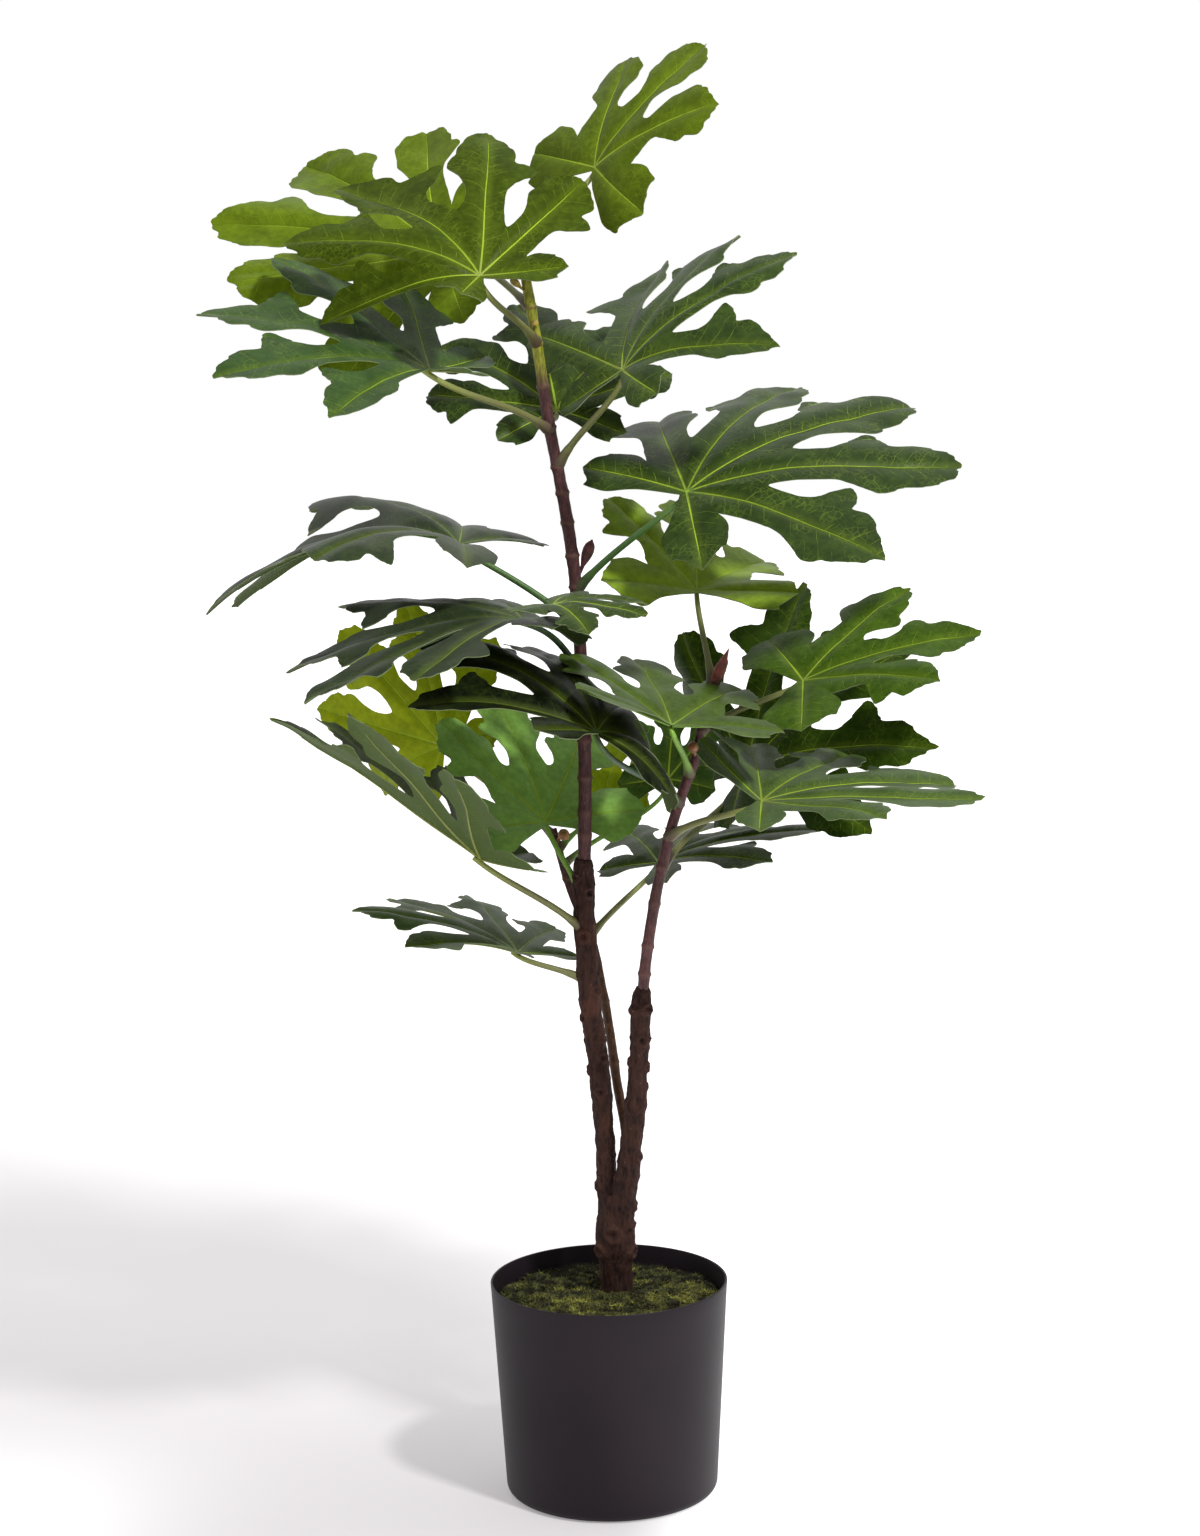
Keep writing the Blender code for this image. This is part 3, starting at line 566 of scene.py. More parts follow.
def bark(settings):
    """Moulded bark: fibrous grooves, pits and rusty patches, with pale flecks on its raised parts that are
    painted highlights.
    """
    finish = Finish("bark", 0.20)
    fibres = finish.speckle(900.0, 4.0, 0.65, grain=0.16)
    flecks = finish.speckle(330.0, 3.0, 0.75, grain=0.6)
    patches = finish.speckle(38.0, 2.0).rise(0.5, 0.75)
    hollow = finish.attribute("relief")
    ridge = (fibres * 0.55 + flecks * 0.6 + hollow * 0.7 - 0.35).rise(0.05, 0.85)
    color = finish.blend(ridge, settings.bark_dark, settings.bark_light)
    color = finish.blend(patches * 0.55, color, mixed(settings.bark_light, RUST, 0.5))
    # Painted highlights: pale flecks on the raised bark stand for glints of light.
    color = finish.blend(flecks.rise(0.62, 0.72) * hollow.rise(0.45, 0.85) * 0.7, color, PAINTED_BARK_GLINT)
    return finish.coat(color, 0.62 + fibres * 0.3, fibres * 0.5 + flecks * 0.9, 0.0011)


def stem_skin(name, low, high, start, end):
    """Smooth young wood with scars, from one colour at a height to another further up."""
    finish = Finish(name, 0.28)
    streaks = finish.speckle(520.0, 3.0, 0.6, grain=0.22)
    dots = finish.speckle(900.0, 1.0, grain=0.6)
    base = finish.blend(finish.along(finish.place, "Z").rise(start, end), low, high)
    color = finish.blend(streaks.rise(0.35, 0.7), finish.blend(0.55, base, BLACK), base)
    color = finish.blend(finish.attribute("relief") * 0.65, color, mixed(low, RING_SCAR, 0.6))
    color = finish.blend(dots.rise(0.70, 0.76) * 0.6, color, STEM_DOT)
    return finish.coat(color, 0.42 + streaks * 0.25, streaks, 0.0004)


def stalk_skin(name, base, body, tip):
    """A leaf stalk: brown where it joins the stem, olive along it, yellow-green at the blade."""
    finish = Finish(name, 0.5)
    share = finish.attribute("share")
    streaks = finish.speckle(480.0)
    color = finish.blend((share + streaks * 0.08).rise(0.07, 0.22), base, body)
    color = finish.blend(share.rise(0.45, 1.0), color, tip)
    color = finish.blend(streaks.rise(0.55, 0.8) * 0.4, color, finish.blend(0.45, color, BLACK))
    return finish.coat(color, 0.42 + streaks * 0.18, streaks, 0.0003)


def fruit_skin(name, tint):
    """A small fig or bud."""
    finish = Finish(name, 0.5)
    ribs = finish.speckle(700.0, 2.0, grain=0.3)
    color = finish.tones(finish.speckle(160.0, 2.0).rise(0.35, 0.65), tint, 0.6, 1.3)
    return finish.coat(color, 0.4 + ribs * 0.2, ribs, 0.0004)


def vein_masks(finish):
    """A blade's own seed, the distance from its lobe's middle, and its main, side and fine veins."""
    in_metres = finish.node("ShaderNodeUVMap", {"uv_map": "veins"}, {})
    in_shares = finish.node("ShaderNodeUVMap", {"uv_map": "lobe"}, {})
    along, across = (finish.along(in_metres, axis) for axis in "XY")
    reach, seed = (finish.along(in_shares, axis) for axis in "XY")
    spread = abs(across)
    finish.place = finish.node("ShaderNodeCombineXYZ", {}, {0: along, 1: across, 2: seed})
    wander = finish.speckle(55.0, 2.0)
    half = 0.0012 - reach * 0.0009
    main = (spread + (wander - 0.5) * 0.0006).fall(half * 0.45, half) * reach.fall(0.86, 0.98)
    main = main * ((seed * 7.31).fraction() * 0.5 + 0.5)
    step = (along - spread * 0.62) / SIDE_VEIN_SPACING + across.above(0.0) * 0.47 + wander * 0.5
    side_gap = abs(step.fraction() - 0.5) * SIDE_VEIN_SPACING
    thin = 0.00034 - spread * 0.008
    side = side_gap.fall(thin * 0.35, thin) * finish.speckle(70.0, 1.0).rise(0.42, 0.62)
    cells = finish.node("ShaderNodeTexVoronoi", {"feature": "DISTANCE_TO_EDGE"},
                        {"Vector": finish.place, "Scale": 210.0})
    net = cells.fall(0.0, 0.09) * finish.speckle(45.0, 2.0).rise(0.45, 0.6)
    return seed, spread, main, side, net


def blade_top(name, tint, vein, clear, sheen):
    """The printed face of a leaf: mottled green with lime veins, clear or faint, sunk a little."""
    finish = Finish(name, sheen)
    seed, spread, main, side, net = vein_masks(finish)
    clouds = finish.speckle(42.0, 4.0, 0.62)
    mottle = finish.speckle(190.0, 3.0, 0.6)
    tone = seed.fraction()
    deep = finish.tones(tone, tint, 0.62, 0.86)
    bright = finish.blend(tone, shade(tint, 1.05), mixed(shade(tint, 1.4), vein, 0.06))
    color = finish.blend((clouds * 0.65 + mottle * 0.45).rise(0.36, 0.78), deep, bright)
    spots = mottle.rise(0.62, 0.8) * clouds.rise(0.5, 0.7)
    color = finish.blend(spots * 0.35, color, mixed(tint, vein, 0.35))
    color = finish.blend(spread.fall(0.0, 0.0075) * 0.22, color, mixed(tint, vein, 0.4))
    color = finish.blend(net * (0.20 * clear), color, mixed(tint, vein, 0.6))
    color = finish.blend(side * (0.45 * clear), color, vein)
    color = finish.blend(main * clear, color, vein)
    height = 0.6 - main * 0.6 - side * 0.3 - net * 0.1 + mottle * 0.15
    return finish.coat(color, 0.30 + mottle * 0.16, height, 0.0006)


def blade_under(name, tint, vein, sheen, paleness):
    """The back of a leaf: paler and greyer, with raised veins."""
    finish = Finish(name, sheen)
    _, _, main, side, net = vein_masks(finish)
    clouds = finish.speckle(60.0)
    pale = mixed(tint, PALE_BACK, paleness)
    color = finish.tones(clouds, pale, 0.8, 1.15)
    for veins, strength, share in ((net, 0.2, 0.3), (side, 0.4, 0.45), (main, 0.8, 0.55)):
        color = finish.blend(veins * strength, color, mixed(pale, vein, share))
    return finish.coat(color, 0.5 + clouds * 0.15, main + side * 0.6 + net * 0.25, 0.0005)


def blade_edge(tint):
    """The pale cut edge of the cloth."""
    finish = Finish("blade_edge", 0.3)
    fray = finish.speckle(900.0, 1.0)
    return finish.coat(finish.tones(fray, tint, 0.7, 1.2), 0.6 + fray * 0.2)


def add_piece(name, bm, materials, replaced=(), sharp=40.0):
    """Links a piece made from a bmesh, hangs it on the root and hides the parts that it replaces."""
    mesh = bpy.data.meshes.new(name)
    bm.to_mesh(mesh)
    bm.free()
    for material in materials:
        mesh.materials.append(material)
    mesh.shade_smooth()
    mesh.set_sharp_from_angle(angle=radians(sharp))
    piece = bpy.data.objects.new(name, mesh)
    bpy.context.scene.collection.objects.link(piece)
    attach(piece, "root")
    if replaced:
        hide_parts(*replaced)
    return piece


def between(a, b, c, d, f):
    """A point between b and c on a smooth curve through four points."""
    bend = a * 2 - b * 5 + c * 4 - d
    return (b * 2 + (c - a) * f + bend * f * f + (b * 3 - a - c * 3 + d) * f ** 3) * 0.5


def spline(points, t):
    """A point on a smooth curve through the points, with t running from 0 at the first to 1 at the last."""
    count = len(points) - 1
    at = min(max(t, 0.0), 1.0) * count
    i = min(int(at), count - 1)
    b, c = points[i], points[i + 1]
    a = points[i - 1] if i > 0 else b * 2 - c
    d = points[i + 2] if i + 2 <= count else c * 2 - b
    return between(a, b, c, d, at - i)


def bell(offset, width):
    """A bell curve: 1 in its middle, falling away over a width."""
    return exp(-(offset / width) ** 2)


def cloud(x, y, z):
    """Smooth noise from about -1 to 1."""
    return noise.noise(Vector((x, y, z)))


def point_values(bm, name):
    """The values of this name that a mesh holds at its points."""
    layers = bm.verts.layers.float
    return layers.get(name) or layers.new(name)


def face_outward(bm):
    """Turns every face outward."""
    bmesh.ops.recalc_face_normals(bm, faces=bm.faces[:])


def share_at_height(stem, height):
    """How far along a stem a height lies, from 0 to 1."""
    route = [Vector(p) for p in stem.route]
    low, high = 0.0, 1.0
    for _ in range(30):
        middle = (low + high) / 2
        if spline(route, middle).z < height:
            low = middle
        else:
            high = middle
    return low


def tube(bm, centres, radii, sides, shares=None):
    """Adds a closed tube through the centres, with the share of the way along it kept at its points."""
    layer = point_values(bm, "share")
    side = Vector((1, 0, 0))
    last = len(centres) - 1
    ring = before = None
    for i, (centre, radius) in enumerate(zip(centres, radii)):
        ahead = (centres[min(i + 1, last)] - centres[max(i - 1, 0)]).normalized()
        side = (side - ahead * side.dot(ahead)).normalized()
        turn = Matrix((side, ahead.cross(side), ahead)).transposed().to_4x4()
        place = Matrix.Translation(centre) @ turn @ Matrix.Scale(radius, 4)
        if ring is None:
            disc = bmesh.ops.create_circle(bm, cap_ends=True, segments=sides, radius=1.0, matrix=place)
            verts = disc["verts"]
            ring = list(dict.fromkeys(e for v in verts for e in v.link_edges))
        else:
            new = bmesh.ops.extrude_edge_only(bm, edges=ring)["geom"]
            verts = [g for g in new if isinstance(g, bmesh.types.BMVert)]
            kept = set(verts)
            ring = [g for g in new if isinstance(g, bmesh.types.BMEdge) and set(g.verts) <= kept]
            bmesh.ops.transform(bm, matrix=place @ before.inverted(), verts=verts)
        before = place
        for v in verts:
            v[layer] = shares[i] if shares else i / last
    bmesh.ops.contextual_create(bm, geom=ring)


def stem_tube(bm, stem, sides, spacing):
    """Adds a stem with its rings."""
    route = [Vector(p) for p in stem.route]
    radii = [Vector((r, 0, 0)) for r in stem.radii]
    length = sum((b - a).length for a, b in zip(route, route[1:]))
    count = max(8, round(length / spacing))
    centres = [spline(route, i / count) for i in range(count + 1)]
    sizes = []
    for i, centre in enumerate(centres):
        gaps = [centre.z - node for node in stem.nodes]
        ring = sum(bell(gap, RING_WIDTH) + 0.35 * bell(gap, RING_SHOULDER) for gap in gaps)
        sizes.append(spline(radii, i / count).x + stem.swelling * ring)
    tube(bm, centres, sizes, sides)


def ring_relief(bm, stem):
    """Roughens a stem's skin, and keeps at its points how near a ring each is."""
    layer = point_values(bm, "relief")
    bm.normal_update()
    for v in bm.verts:
        p = v.co
        ring = max(bell(p.z - node, RING_SCAR_WIDTH) for node in stem.nodes)
        lumps = noise.noise(p * 210.0) + 0.6 * cloud(p.x * 600, p.y * 600, p.z * 160)
        v.co += v.normal * STEM_RELIEF * (lumps + ring * noise.noise(p * 700.0) * 1.5)
        v[layer] = ring


def bark_relief(bm, settings):
    """Cuts grooves, pits and knots in the trunk's skin, and keeps at its points how high each stands."""
    layer = point_values(bm, "relief")
    bm.normal_update()
    for v in bm.verts:
        p = v.co
        grooves = cloud(p.x * 330, p.y * 330, p.z * 70)
        fibres = cloud(p.x * 900, p.y * 900, p.z * 210)
        raised = 0.0
        for knot in KNOTS:
            if abs(p.z - knot.z) < knot.radius * 3:
                away = (p - Vector((knot.x, knot.y, knot.z))).length
                lip = bell(away - knot.radius, knot.radius * 0.42)
                eye = bell(away, knot.radius * 0.45)
                raised += knot.height * KNOT_STRENGTH * (lip - eye * 0.8)
        for node in LEFT_LEG.nodes + RIGHT_LEG.nodes:
            raised += SCAR_HEIGHT * bell(p.z + noise.noise(p * 120.0) * 0.003 - node, SCAR_WIDTH)
        height = grooves * 0.9 + fibres * 0.5 + noise.noise(p * 85.0) * 0.9
        v.co += v.normal * (settings.relief * height + raised)
        v[layer] = min(max(0.5 + grooves * 0.6 + fibres * 0.5 + raised * 260.0, 0.0), 1.0)


def cut_grid(bm, cell):
    """Cuts flat faces into square cells along X and then along Y."""
    for axis in (Vector((1, 0, 0)), Vector((0, 1, 0))):
        ahead = bm.faces[:]
        ends = [v.co.dot(axis) for v in bm.verts]
        for k in range(int(min(ends) / cell), int(max(ends) / cell) + 1):
            geom = dict.fromkeys(part for f in ahead for part in (f, *f.verts, *f.edges))
            cut = bmesh.ops.bisect_plane(bm, geom=list(geom), dist=cell * 0.08, plane_co=axis * (k * cell),
                                         plane_no=axis)
            ahead = [g for g in cut["geom"] if isinstance(g, bmesh.types.BMFace)
                     and g.calc_center_median().dot(axis) > k * cell]


def lobe_margin(tooth, point, club, rng):
    """A side of a long lobe from its bay to near its tip: shares of length and half-width, and corners."""
    shift = rng.uniform(-0.025, 0.025)
    wave = rng.uniform(-0.10, 0.10)
    nick = rng.random()
    slim = 1.0 - 0.28 * point
    pointed = club == 0.0
    toothed = tooth > 0.4 and nick > 0.45 and pointed
    tooth *= 1.0 - 0.5 * club
    return [
        (0.50, 0.62 - 0.10 * club, False),
        (0.58 + shift, 0.76 + 0.06 * tooth - 0.14 * club, False),
        (0.635 + shift, 0.90 + 0.45 * tooth - 0.18 * club, False),
        (0.69 + shift, 1.02 + 0.70 * tooth - 0.12 * club, False),
        (0.735 + shift, 0.98 + 0.52 * tooth, toothed),
        (0.765 + shift, 0.93 + 0.12 * club, False),
        (0.84, (1.00 + wave) * slim ** 0.4 + 0.20 * club, False),
        (0.895, (0.90 + wave) * slim + 0.24 * club, nick > 0.6 and pointed),
        (0.915, 0.76 * slim + 0.28 * club, False),
        (0.958, (0.56 - wave) * slim + 0.24 * club, nick < 0.3 and pointed),
        (0.982, 0.30 * slim + 0.16 * club, False),
    ]


def short_margin(tooth, point, club, rng):
    """A side of a short round lobe by the stalk."""
    wave = rng.uniform(-0.08, 0.08)
    return [(0.45, 0.75, False), (0.62, 1.05 + wave + 0.15 * tooth, False), (0.76, 1.04, False),
            (0.87, 0.92 - wave, club == 0.0), (0.872, 0.74, False), (0.95, 0.52 - 0.15 * point, False)]


def blade_outline(die, rng, step):
    """The flat blade's outline, for a centre lobe one long along +X."""
    def on_lobe(i, along, across):
        angle = radians(die.angles[i])
        reach = along * die.lengths[i]
        offset = across * die.widths[i]
        return Vector((cos(angle) * reach - sin(angle) * offset,
                       sin(angle) * reach + cos(angle) * offset, 0.0))

    last = len(die.angles) - 1
    points = [(Vector((-die.notch, 0.0, 0.0)), True), (on_lobe(0, 0.22, -0.45), False)]
    for i in range(last + 1):
        margin = short_margin if i in (0, last) else lobe_margin
        right, left = die.teeth[i]
        point = rng.random()
        for along, across, corner in margin(right, point, die.club, rng):
            points.append((on_lobe(i, along, -across), corner))
        points.append((on_lobe(i, 1.0 + 0.03 * point, rng.uniform(-0.15, 0.15)), point > 0.45))
        for along, across, corner in reversed(margin(left, point, die.club, rng)):
            points.append((on_lobe(i, along, across), corner))
        if i < last:
            middle = radians((die.angles[i] + die.angles[i + 1]) / 2)
            points.append((Vector((cos(middle), sin(middle), 0.0)) * die.bays[i], False))
    points.append((on_lobe(last, 0.22, 0.45), False))
    outline = []
    count = len(points)
    for i in range(count):
        (a, _), (b, sharp_b), (c, sharp_c), (d, _) = (points[(i + k) % count] for k in (-1, 0, 1, 2))
        a = b * 2 - c if sharp_b else a
        d = c * 2 - b if sharp_c else d
        pieces = max(1, round((c - b).length / step))
        outline += [between(a, b, c, d, k / pieces) for k in range(pieces)]
    return [p * sum((size * noise.noise(p * scale) for scale, size in EDGE_WOBBLE), 1.0) for p in outline]


class Blade:
    """One leaf: the flat shape that its die cuts, how that is bent, and its stalk."""

    def __init__(self, number, leaf, settings):
        self.leaf = leaf
        self.die = leaf.die
        self.settings = settings
        self.rng = random.Random(100 + number)
        self.sweeps = [self.rng.uniform(-LOBE_SWEEP, LOBE_SWEEP) for _ in leaf.lifts]
        self.seed = number * 3.7
        heading, pitch, roll = map(radians, (leaf.heading, leaf.pitch, leaf.roll))
        ahead = Vector((cos(pitch) * cos(heading), cos(pitch) * sin(heading), sin(pitch)))
        level = Vector((-sin(heading), cos(heading), 0.0))
        left = level * cos(roll) + ahead.cross(level) * sin(roll)
        self.axes = Matrix((ahead, left, ahead.cross(left))).transposed()

    def lobe_of(self, x, y):
        """Which lobe a point of the flat blade belongs to."""
        course = degrees(atan2(y, x))
        return min(range(len(self.die.angles)), key=lambda i: abs(course - self.die.angles[i]))

    def in_lobe(self, i, x, y):
        """How far a point lies along a lobe's middle, and to its left."""
        angle = radians(self.die.angles[i])
        return x * cos(angle) + y * sin(angle), y * cos(angle) - x * sin(angle)

    def eased(self, values, course):
        """A value held along each lobe and eased between two lobes."""
        angles = self.die.angles
        value = values[0]
        for i in range(len(angles) - 1):
            t = min(max((course - angles[i]) / (angles[i + 1] - angles[i]), 0.0), 1.0)
            value += (values[i + 1] - values[i]) * t * t * (3 - 2 * t)
        return value

    def bent(self, x, y):
        """Where a flat point goes once its lobe sweeps, lifts and droops, and the way up there."""
        radius = hypot(x, y)
        course = degrees(atan2(y, x))
        lift = radians(self.eased(self.leaf.lifts, course))
        angle = radians(course + self.eased(self.sweeps, course) * radius * radius)
        out = rise = slope = 0.0
        for k in range(BEND_STEPS):
            reach = (k + 0.5) / BEND_STEPS * radius
            slope = lift * min(1.0, 0.45 + 1.4 * reach) + radians(self.leaf.curl) * 0.7 * (0.5 - reach)
            out += cos(slope) * radius / BEND_STEPS
            rise += sin(slope) * radius / BEND_STEPS
        up = Vector((-sin(slope) * cos(angle), -sin(slope) * sin(angle), cos(slope)))
        return Vector((out * cos(angle), out * sin(angle), rise)), up

    def height(self, x, y):
        """How far a point stands above the blade's plain curve: pleats, drooping margins and waves."""
        _, across = self.in_lobe(self.lobe_of(x, y), x, y)
        spread = abs(across)
        radius = hypot(x, y)
        pleat = self.settings.pleat * (1.0 - exp(-spread / 0.035)) * min(1.0, radius * 6.0)
        droop = 0.75 * max(0.0, spread - 0.05) ** 2
        waves = cloud(x * 2.6, y * 2.6, self.seed) + 0.45 * cloud(x * 7.0, y * 7.0, self.seed + 9)
        return pleat - droop + self.settings.ripple * waves * min(1.0, radius * 1.3)

    def at(self, x, y, proud):
        """The place in the tree of a flat point, some metres proud of the blade's upper face."""
        leaf = self.leaf
        point, up = self.bent(x, -y if leaf.mirrored else y)
        above = self.height(x, y) * leaf.size + proud
        return Vector(leaf.hub) + self.axes @ (point * leaf.size + up * above)

    def cloth(self):
        """The blade: its outline cut into cells, thickened, marked with its veins' coordinates and bent."""
        bm = bmesh.new()
        size = self.leaf.size
        cell = self.settings.cell / size * 1.0
        bm.faces.new([bm.verts.new(p) for p in blade_outline(self.die, self.rng, cell * 0.55)])
        angles = self.die.angles
        for ray in map(radians, (*angles, *((a + b) / 2 for a, b in zip(angles, angles[1:])))):
            bmesh.ops.bisect_plane(bm, geom=bm.verts[:] + bm.edges[:] + bm.faces[:], dist=cell * 0.05,
                                   plane_co=(0, 0, 0), plane_no=(-sin(ray), cos(ray), 0.0))
        cut_grid(bm, cell)
        bm.normal_update()
        if sum(f.normal.z for f in bm.faces) < 0:
            bmesh.ops.reverse_faces(bm, faces=bm.faces[:])
        bmesh.ops.solidify(bm, geom=bm.faces[:], thickness=self.settings.thickness / size)
        bm.normal_update()
        veins = bm.loops.layers.uv.new("veins")
        lobes = bm.loops.layers.uv.new("lobe")
        top = max(v.co.z for v in bm.verts)
        tone = self.rng.random()
        for face in bm.faces:
            centre = face.calc_center_median()
            i = self.lobe_of(centre.x, centre.y)
            face.material_index = 0 if face.normal.z > 0.5 else 1 if face.normal.z < -0.5 else 2
            for loop in face.loops:
                along, across = self.in_lobe(i, loop.vert.co.x, loop.vert.co.y)
                loop[veins].uv = (along * size, across * size)
                loop[lobes].uv = (along / self.die.lengths[i], i + tone)
        for v in bm.verts:
            v.co = self.at(v.co.x, v.co.y, (v.co.z - top) * size)
        if self.leaf.mirrored:
            bmesh.ops.reverse_faces(bm, faces=bm.faces[:])
        return bm

    def stalk(self):
        """The stalk from its stem to the hub, and the rib under each lobe."""
        bm = bmesh.new()
        stem = STEMS[self.leaf.stem]
        start = spline([Vector(p) for p in stem.route], share_at_height(stem, self.leaf.height))
        hub = Vector(self.leaf.hub)
        ahead, up = self.axes.col[0], self.axes.col[2]
        span = (hub - start).length
        leaving = start + (hub - start) * 0.35 + Vector((0, 0, span * 0.06))
        arriving = hub - ahead * span * 0.25 - up * span * 0.08
        end = hub + ahead * self.leaf.size * 0.03 - up * STALK_NECK
        thick = min(1.0, 0.55 + self.leaf.size * 2.6)
        centres = []
        radii = []
        for k in range(STALK_STEPS + 1):
            t = k / STALK_STEPS
            centres.append(start * (1 - t) ** 3 + leaving * 3 * t * (1 - t) ** 2
                           + arriving * 3 * t * t * (1 - t) + end * t ** 3)
            sheath = bell(t * span, FLARE_LENGTH) * STALK_FLARE
            collar = bell(t * span - COLLAR_PLACE, COLLAR_WIDTH) * COLLAR_HEIGHT
            radii.append((STALK_NECK + (STALK_MIDDLE - STALK_NECK) * (1 - t) + sheath + collar) * thick)
        tube(bm, centres, radii, 14)
        under = -self.settings.thickness - RIB_GAP
        for length, angle in zip(self.die.lengths, map(radians, self.die.angles)):
            route = []
            sizes = []
            for k in range(RIB_POINTS):
                share = k / (RIB_POINTS - 1)
                reach = (0.01 + 0.87 * share) * length
                route.append(self.at(cos(angle) * reach, sin(angle) * reach, under))
                sizes.append((RIB_RADIUS - RIB_TAPER * share) * thick)
            tube(bm, route, sizes, 6, [1.0] * RIB_POINTS)
        face_outward(bm)
        return bm


class FIGTREE_OT_pot(bpy.types.Operator):
    """Make the nursery pot and finish what fills it"""
    bl_idname = "figtree.pot"
    bl_label = "Pot"

    def execute(self, context):
        settings = context.scene.fig_pot
        rim = POT_HIGH.x
        height = POT_HIGH.z

        def outer(z):
            return POT_FOOT_RADIUS + (rim - POT_FOOT_RADIUS) * z / height

        profile = [(0.0, POT_LOW.z)]
        curve = settings.foot_round
        for step in range(9):
            angle = radians(-90 + 90 * step / 8)
            profile.append((outer(curve) + curve * (cos(angle) - 1), curve * (1 + sin(angle))))
        half = settings.wall / 2
        profile += [(outer(height * share), height * share) for share in (0.2, 0.4, 0.6, 0.8, 0.93)]
        for step in range(7):
            angle = radians(180 * step / 6)
            profile.append((outer(height) - half + half * cos(angle), height - half + half * sin(angle)))
        profile += [(outer(height * share) - settings.wall, height * share) for share in (0.93, 0.8)]
        profile += [(outer(curve) - settings.wall, curve + POT_FLOOR_THICKNESS),
                    (POT_FOOT_RADIUS - curve, POT_FLOOR_THICKNESS), (0.0, POT_FLOOR_THICKNESS)]
        bm = bmesh.new()
        verts = [bm.verts.new((radius, 0.0, z)) for radius, z in profile]
        edges = [bm.edges.new(pair) for pair in zip(verts, verts[1:])]
        bmesh.ops.spin(bm, geom=verts + edges, axis=(0, 0, 1), cent=(0, 0, 0), angle=tau,
                       steps=settings.sides, use_merge=True)
        bmesh.ops.remove_doubles(bm, verts=bm.verts[:], dist=0.00001)
        face_outward(bm)
        add_piece("nursery_pot", bm, [pot_plastic(settings)], ["pot"], 30.0)
        for node, tint in (("ballast", settings.cement), ("foam", settings.foam)):
            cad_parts[node].data.materials.clear()
            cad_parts[node].data.materials.append(rough_fill(node + "_fill", tint))
        return {"FINISHED"}


class FIGTREE_OT_moss(bpy.types.Operator):
    """Make the bed of moss and its strands"""
    bl_idname = "figtree.moss"
    bl_label = "Moss"

    def execute(self, context):
        settings = context.scene.fig_moss
        radius = MOSS_HIGH.x
        edge = MOSS_HIGH.z - MOSS_CROWN
        trunk = Vector(FOOT.route[0])

        def height(x, y):
            away = hypot(x, y) / radius
            clumps = cloud(x * 75, y * 75, 3.0) + 0.6 * cloud(x * 190, y * 190, 8.0)
            at_trunk = bell(hypot(x - trunk.x, y - trunk.y), 0.022) * 0.002
            crown = MOSS_CROWN * (1 - away ** 4)
            return edge + crown + at_trunk + settings.relief * 0.6 * clumps - 0.004 * away ** 10

        bm = bmesh.new()
        bmesh.ops.create_circle(bm, cap_ends=True, segments=120, radius=radius)
        cut_grid(bm, settings.cell * (1.0))
        bmesh.ops.solidify(bm, geom=bm.faces[:], thickness=0.001)
        top = sum(v.co.z for v in bm.verts) / len(bm.verts)
        for v in bm.verts:
            v.co.z = height(v.co.x, v.co.y) if v.co.z > top else MOSS_LOW.z
        face_outward(bm)
        add_piece("moss_bed", bm, [moss_ground(settings)], ["moss"], 50.0)

        rng = random.Random(5)
        tuft = bmesh.new()
        for _ in range(STRANDS_PER_TUFT):
            length = settings.strand * rng.uniform(0.5, 1.1)
            tilt = rng.uniform(0.5, 1.45)
            lean = Matrix.Rotation(tilt, 4, (cos(rng.uniform(0, 6.3)), sin(rng.uniform(0, 6.3)), 0))
            strand = bmesh.ops.create_cone(tuft, cap_ends=True, segments=3, radius1=STRAND_ROOT_RADIUS,
                                           radius2=STRAND_TIP_RADIUS, depth=length)["verts"]
            bmesh.ops.translate(tuft, verts=strand, vec=(0, 0, length / 2))
            place = Matrix.Translation((rng.uniform(-0.002, 0.002), rng.uniform(-0.002, 0.002), 0)) @ lean
            bmesh.ops.transform(tuft, verts=strand, matrix=place)
        tufts = []
        for number in range(3):
            for face in tuft.faces:
                face.material_index = number
            tufts.append(bpy.data.meshes.new("tuft"))
            tuft.to_mesh(tufts[-1])
        tuft.free()
        bm = bmesh.new()
        for _ in range(settings.tufts // (1)):
            angle = rng.uniform(0, tau)
            away = sqrt(rng.random()) * (radius - 0.003)
            x, y = cos(angle) * away, sin(angle) * away
            if hypot(x - trunk.x, y - trunk.y) < FOOT.radii[0] + 0.001:
                continue
            place = (Matrix.Translation((x, y, height(x, y) - 0.0006))
                     @ Matrix.Rotation(rng.uniform(0, 6.3), 4, "Z")
                     @ Matrix.Scale(rng.uniform(0.7, 1.3), 4))
            # Painted light and shade: random clouds give each tuft the sunlit, middle or shaded copy of the
            # moss, and tufts further back take the shaded one.
            lit = (cloud(x * 70, y * 70, 1.0) + 0.6 * cloud(x * 24, y * 24, 4.0)
                   + rng.uniform(-0.35, 0.35) - max(0.0, y + 0.03) * 5.0)
            strands = tufts[0 if lit > 0.24 else 1 if lit > -0.12 else 2]
            strands.transform(place)
            bm.from_mesh(strands)
            strands.transform(place.inverted())
        for strands in tufts:
            bpy.data.meshes.remove(strands)
        shades = [moss_fibre("moss_" + name, getattr(settings, name)) for name in ("light", "green", "dark")]
        add_piece("moss_strands", bm, shades)
        return {"FINISHED"}


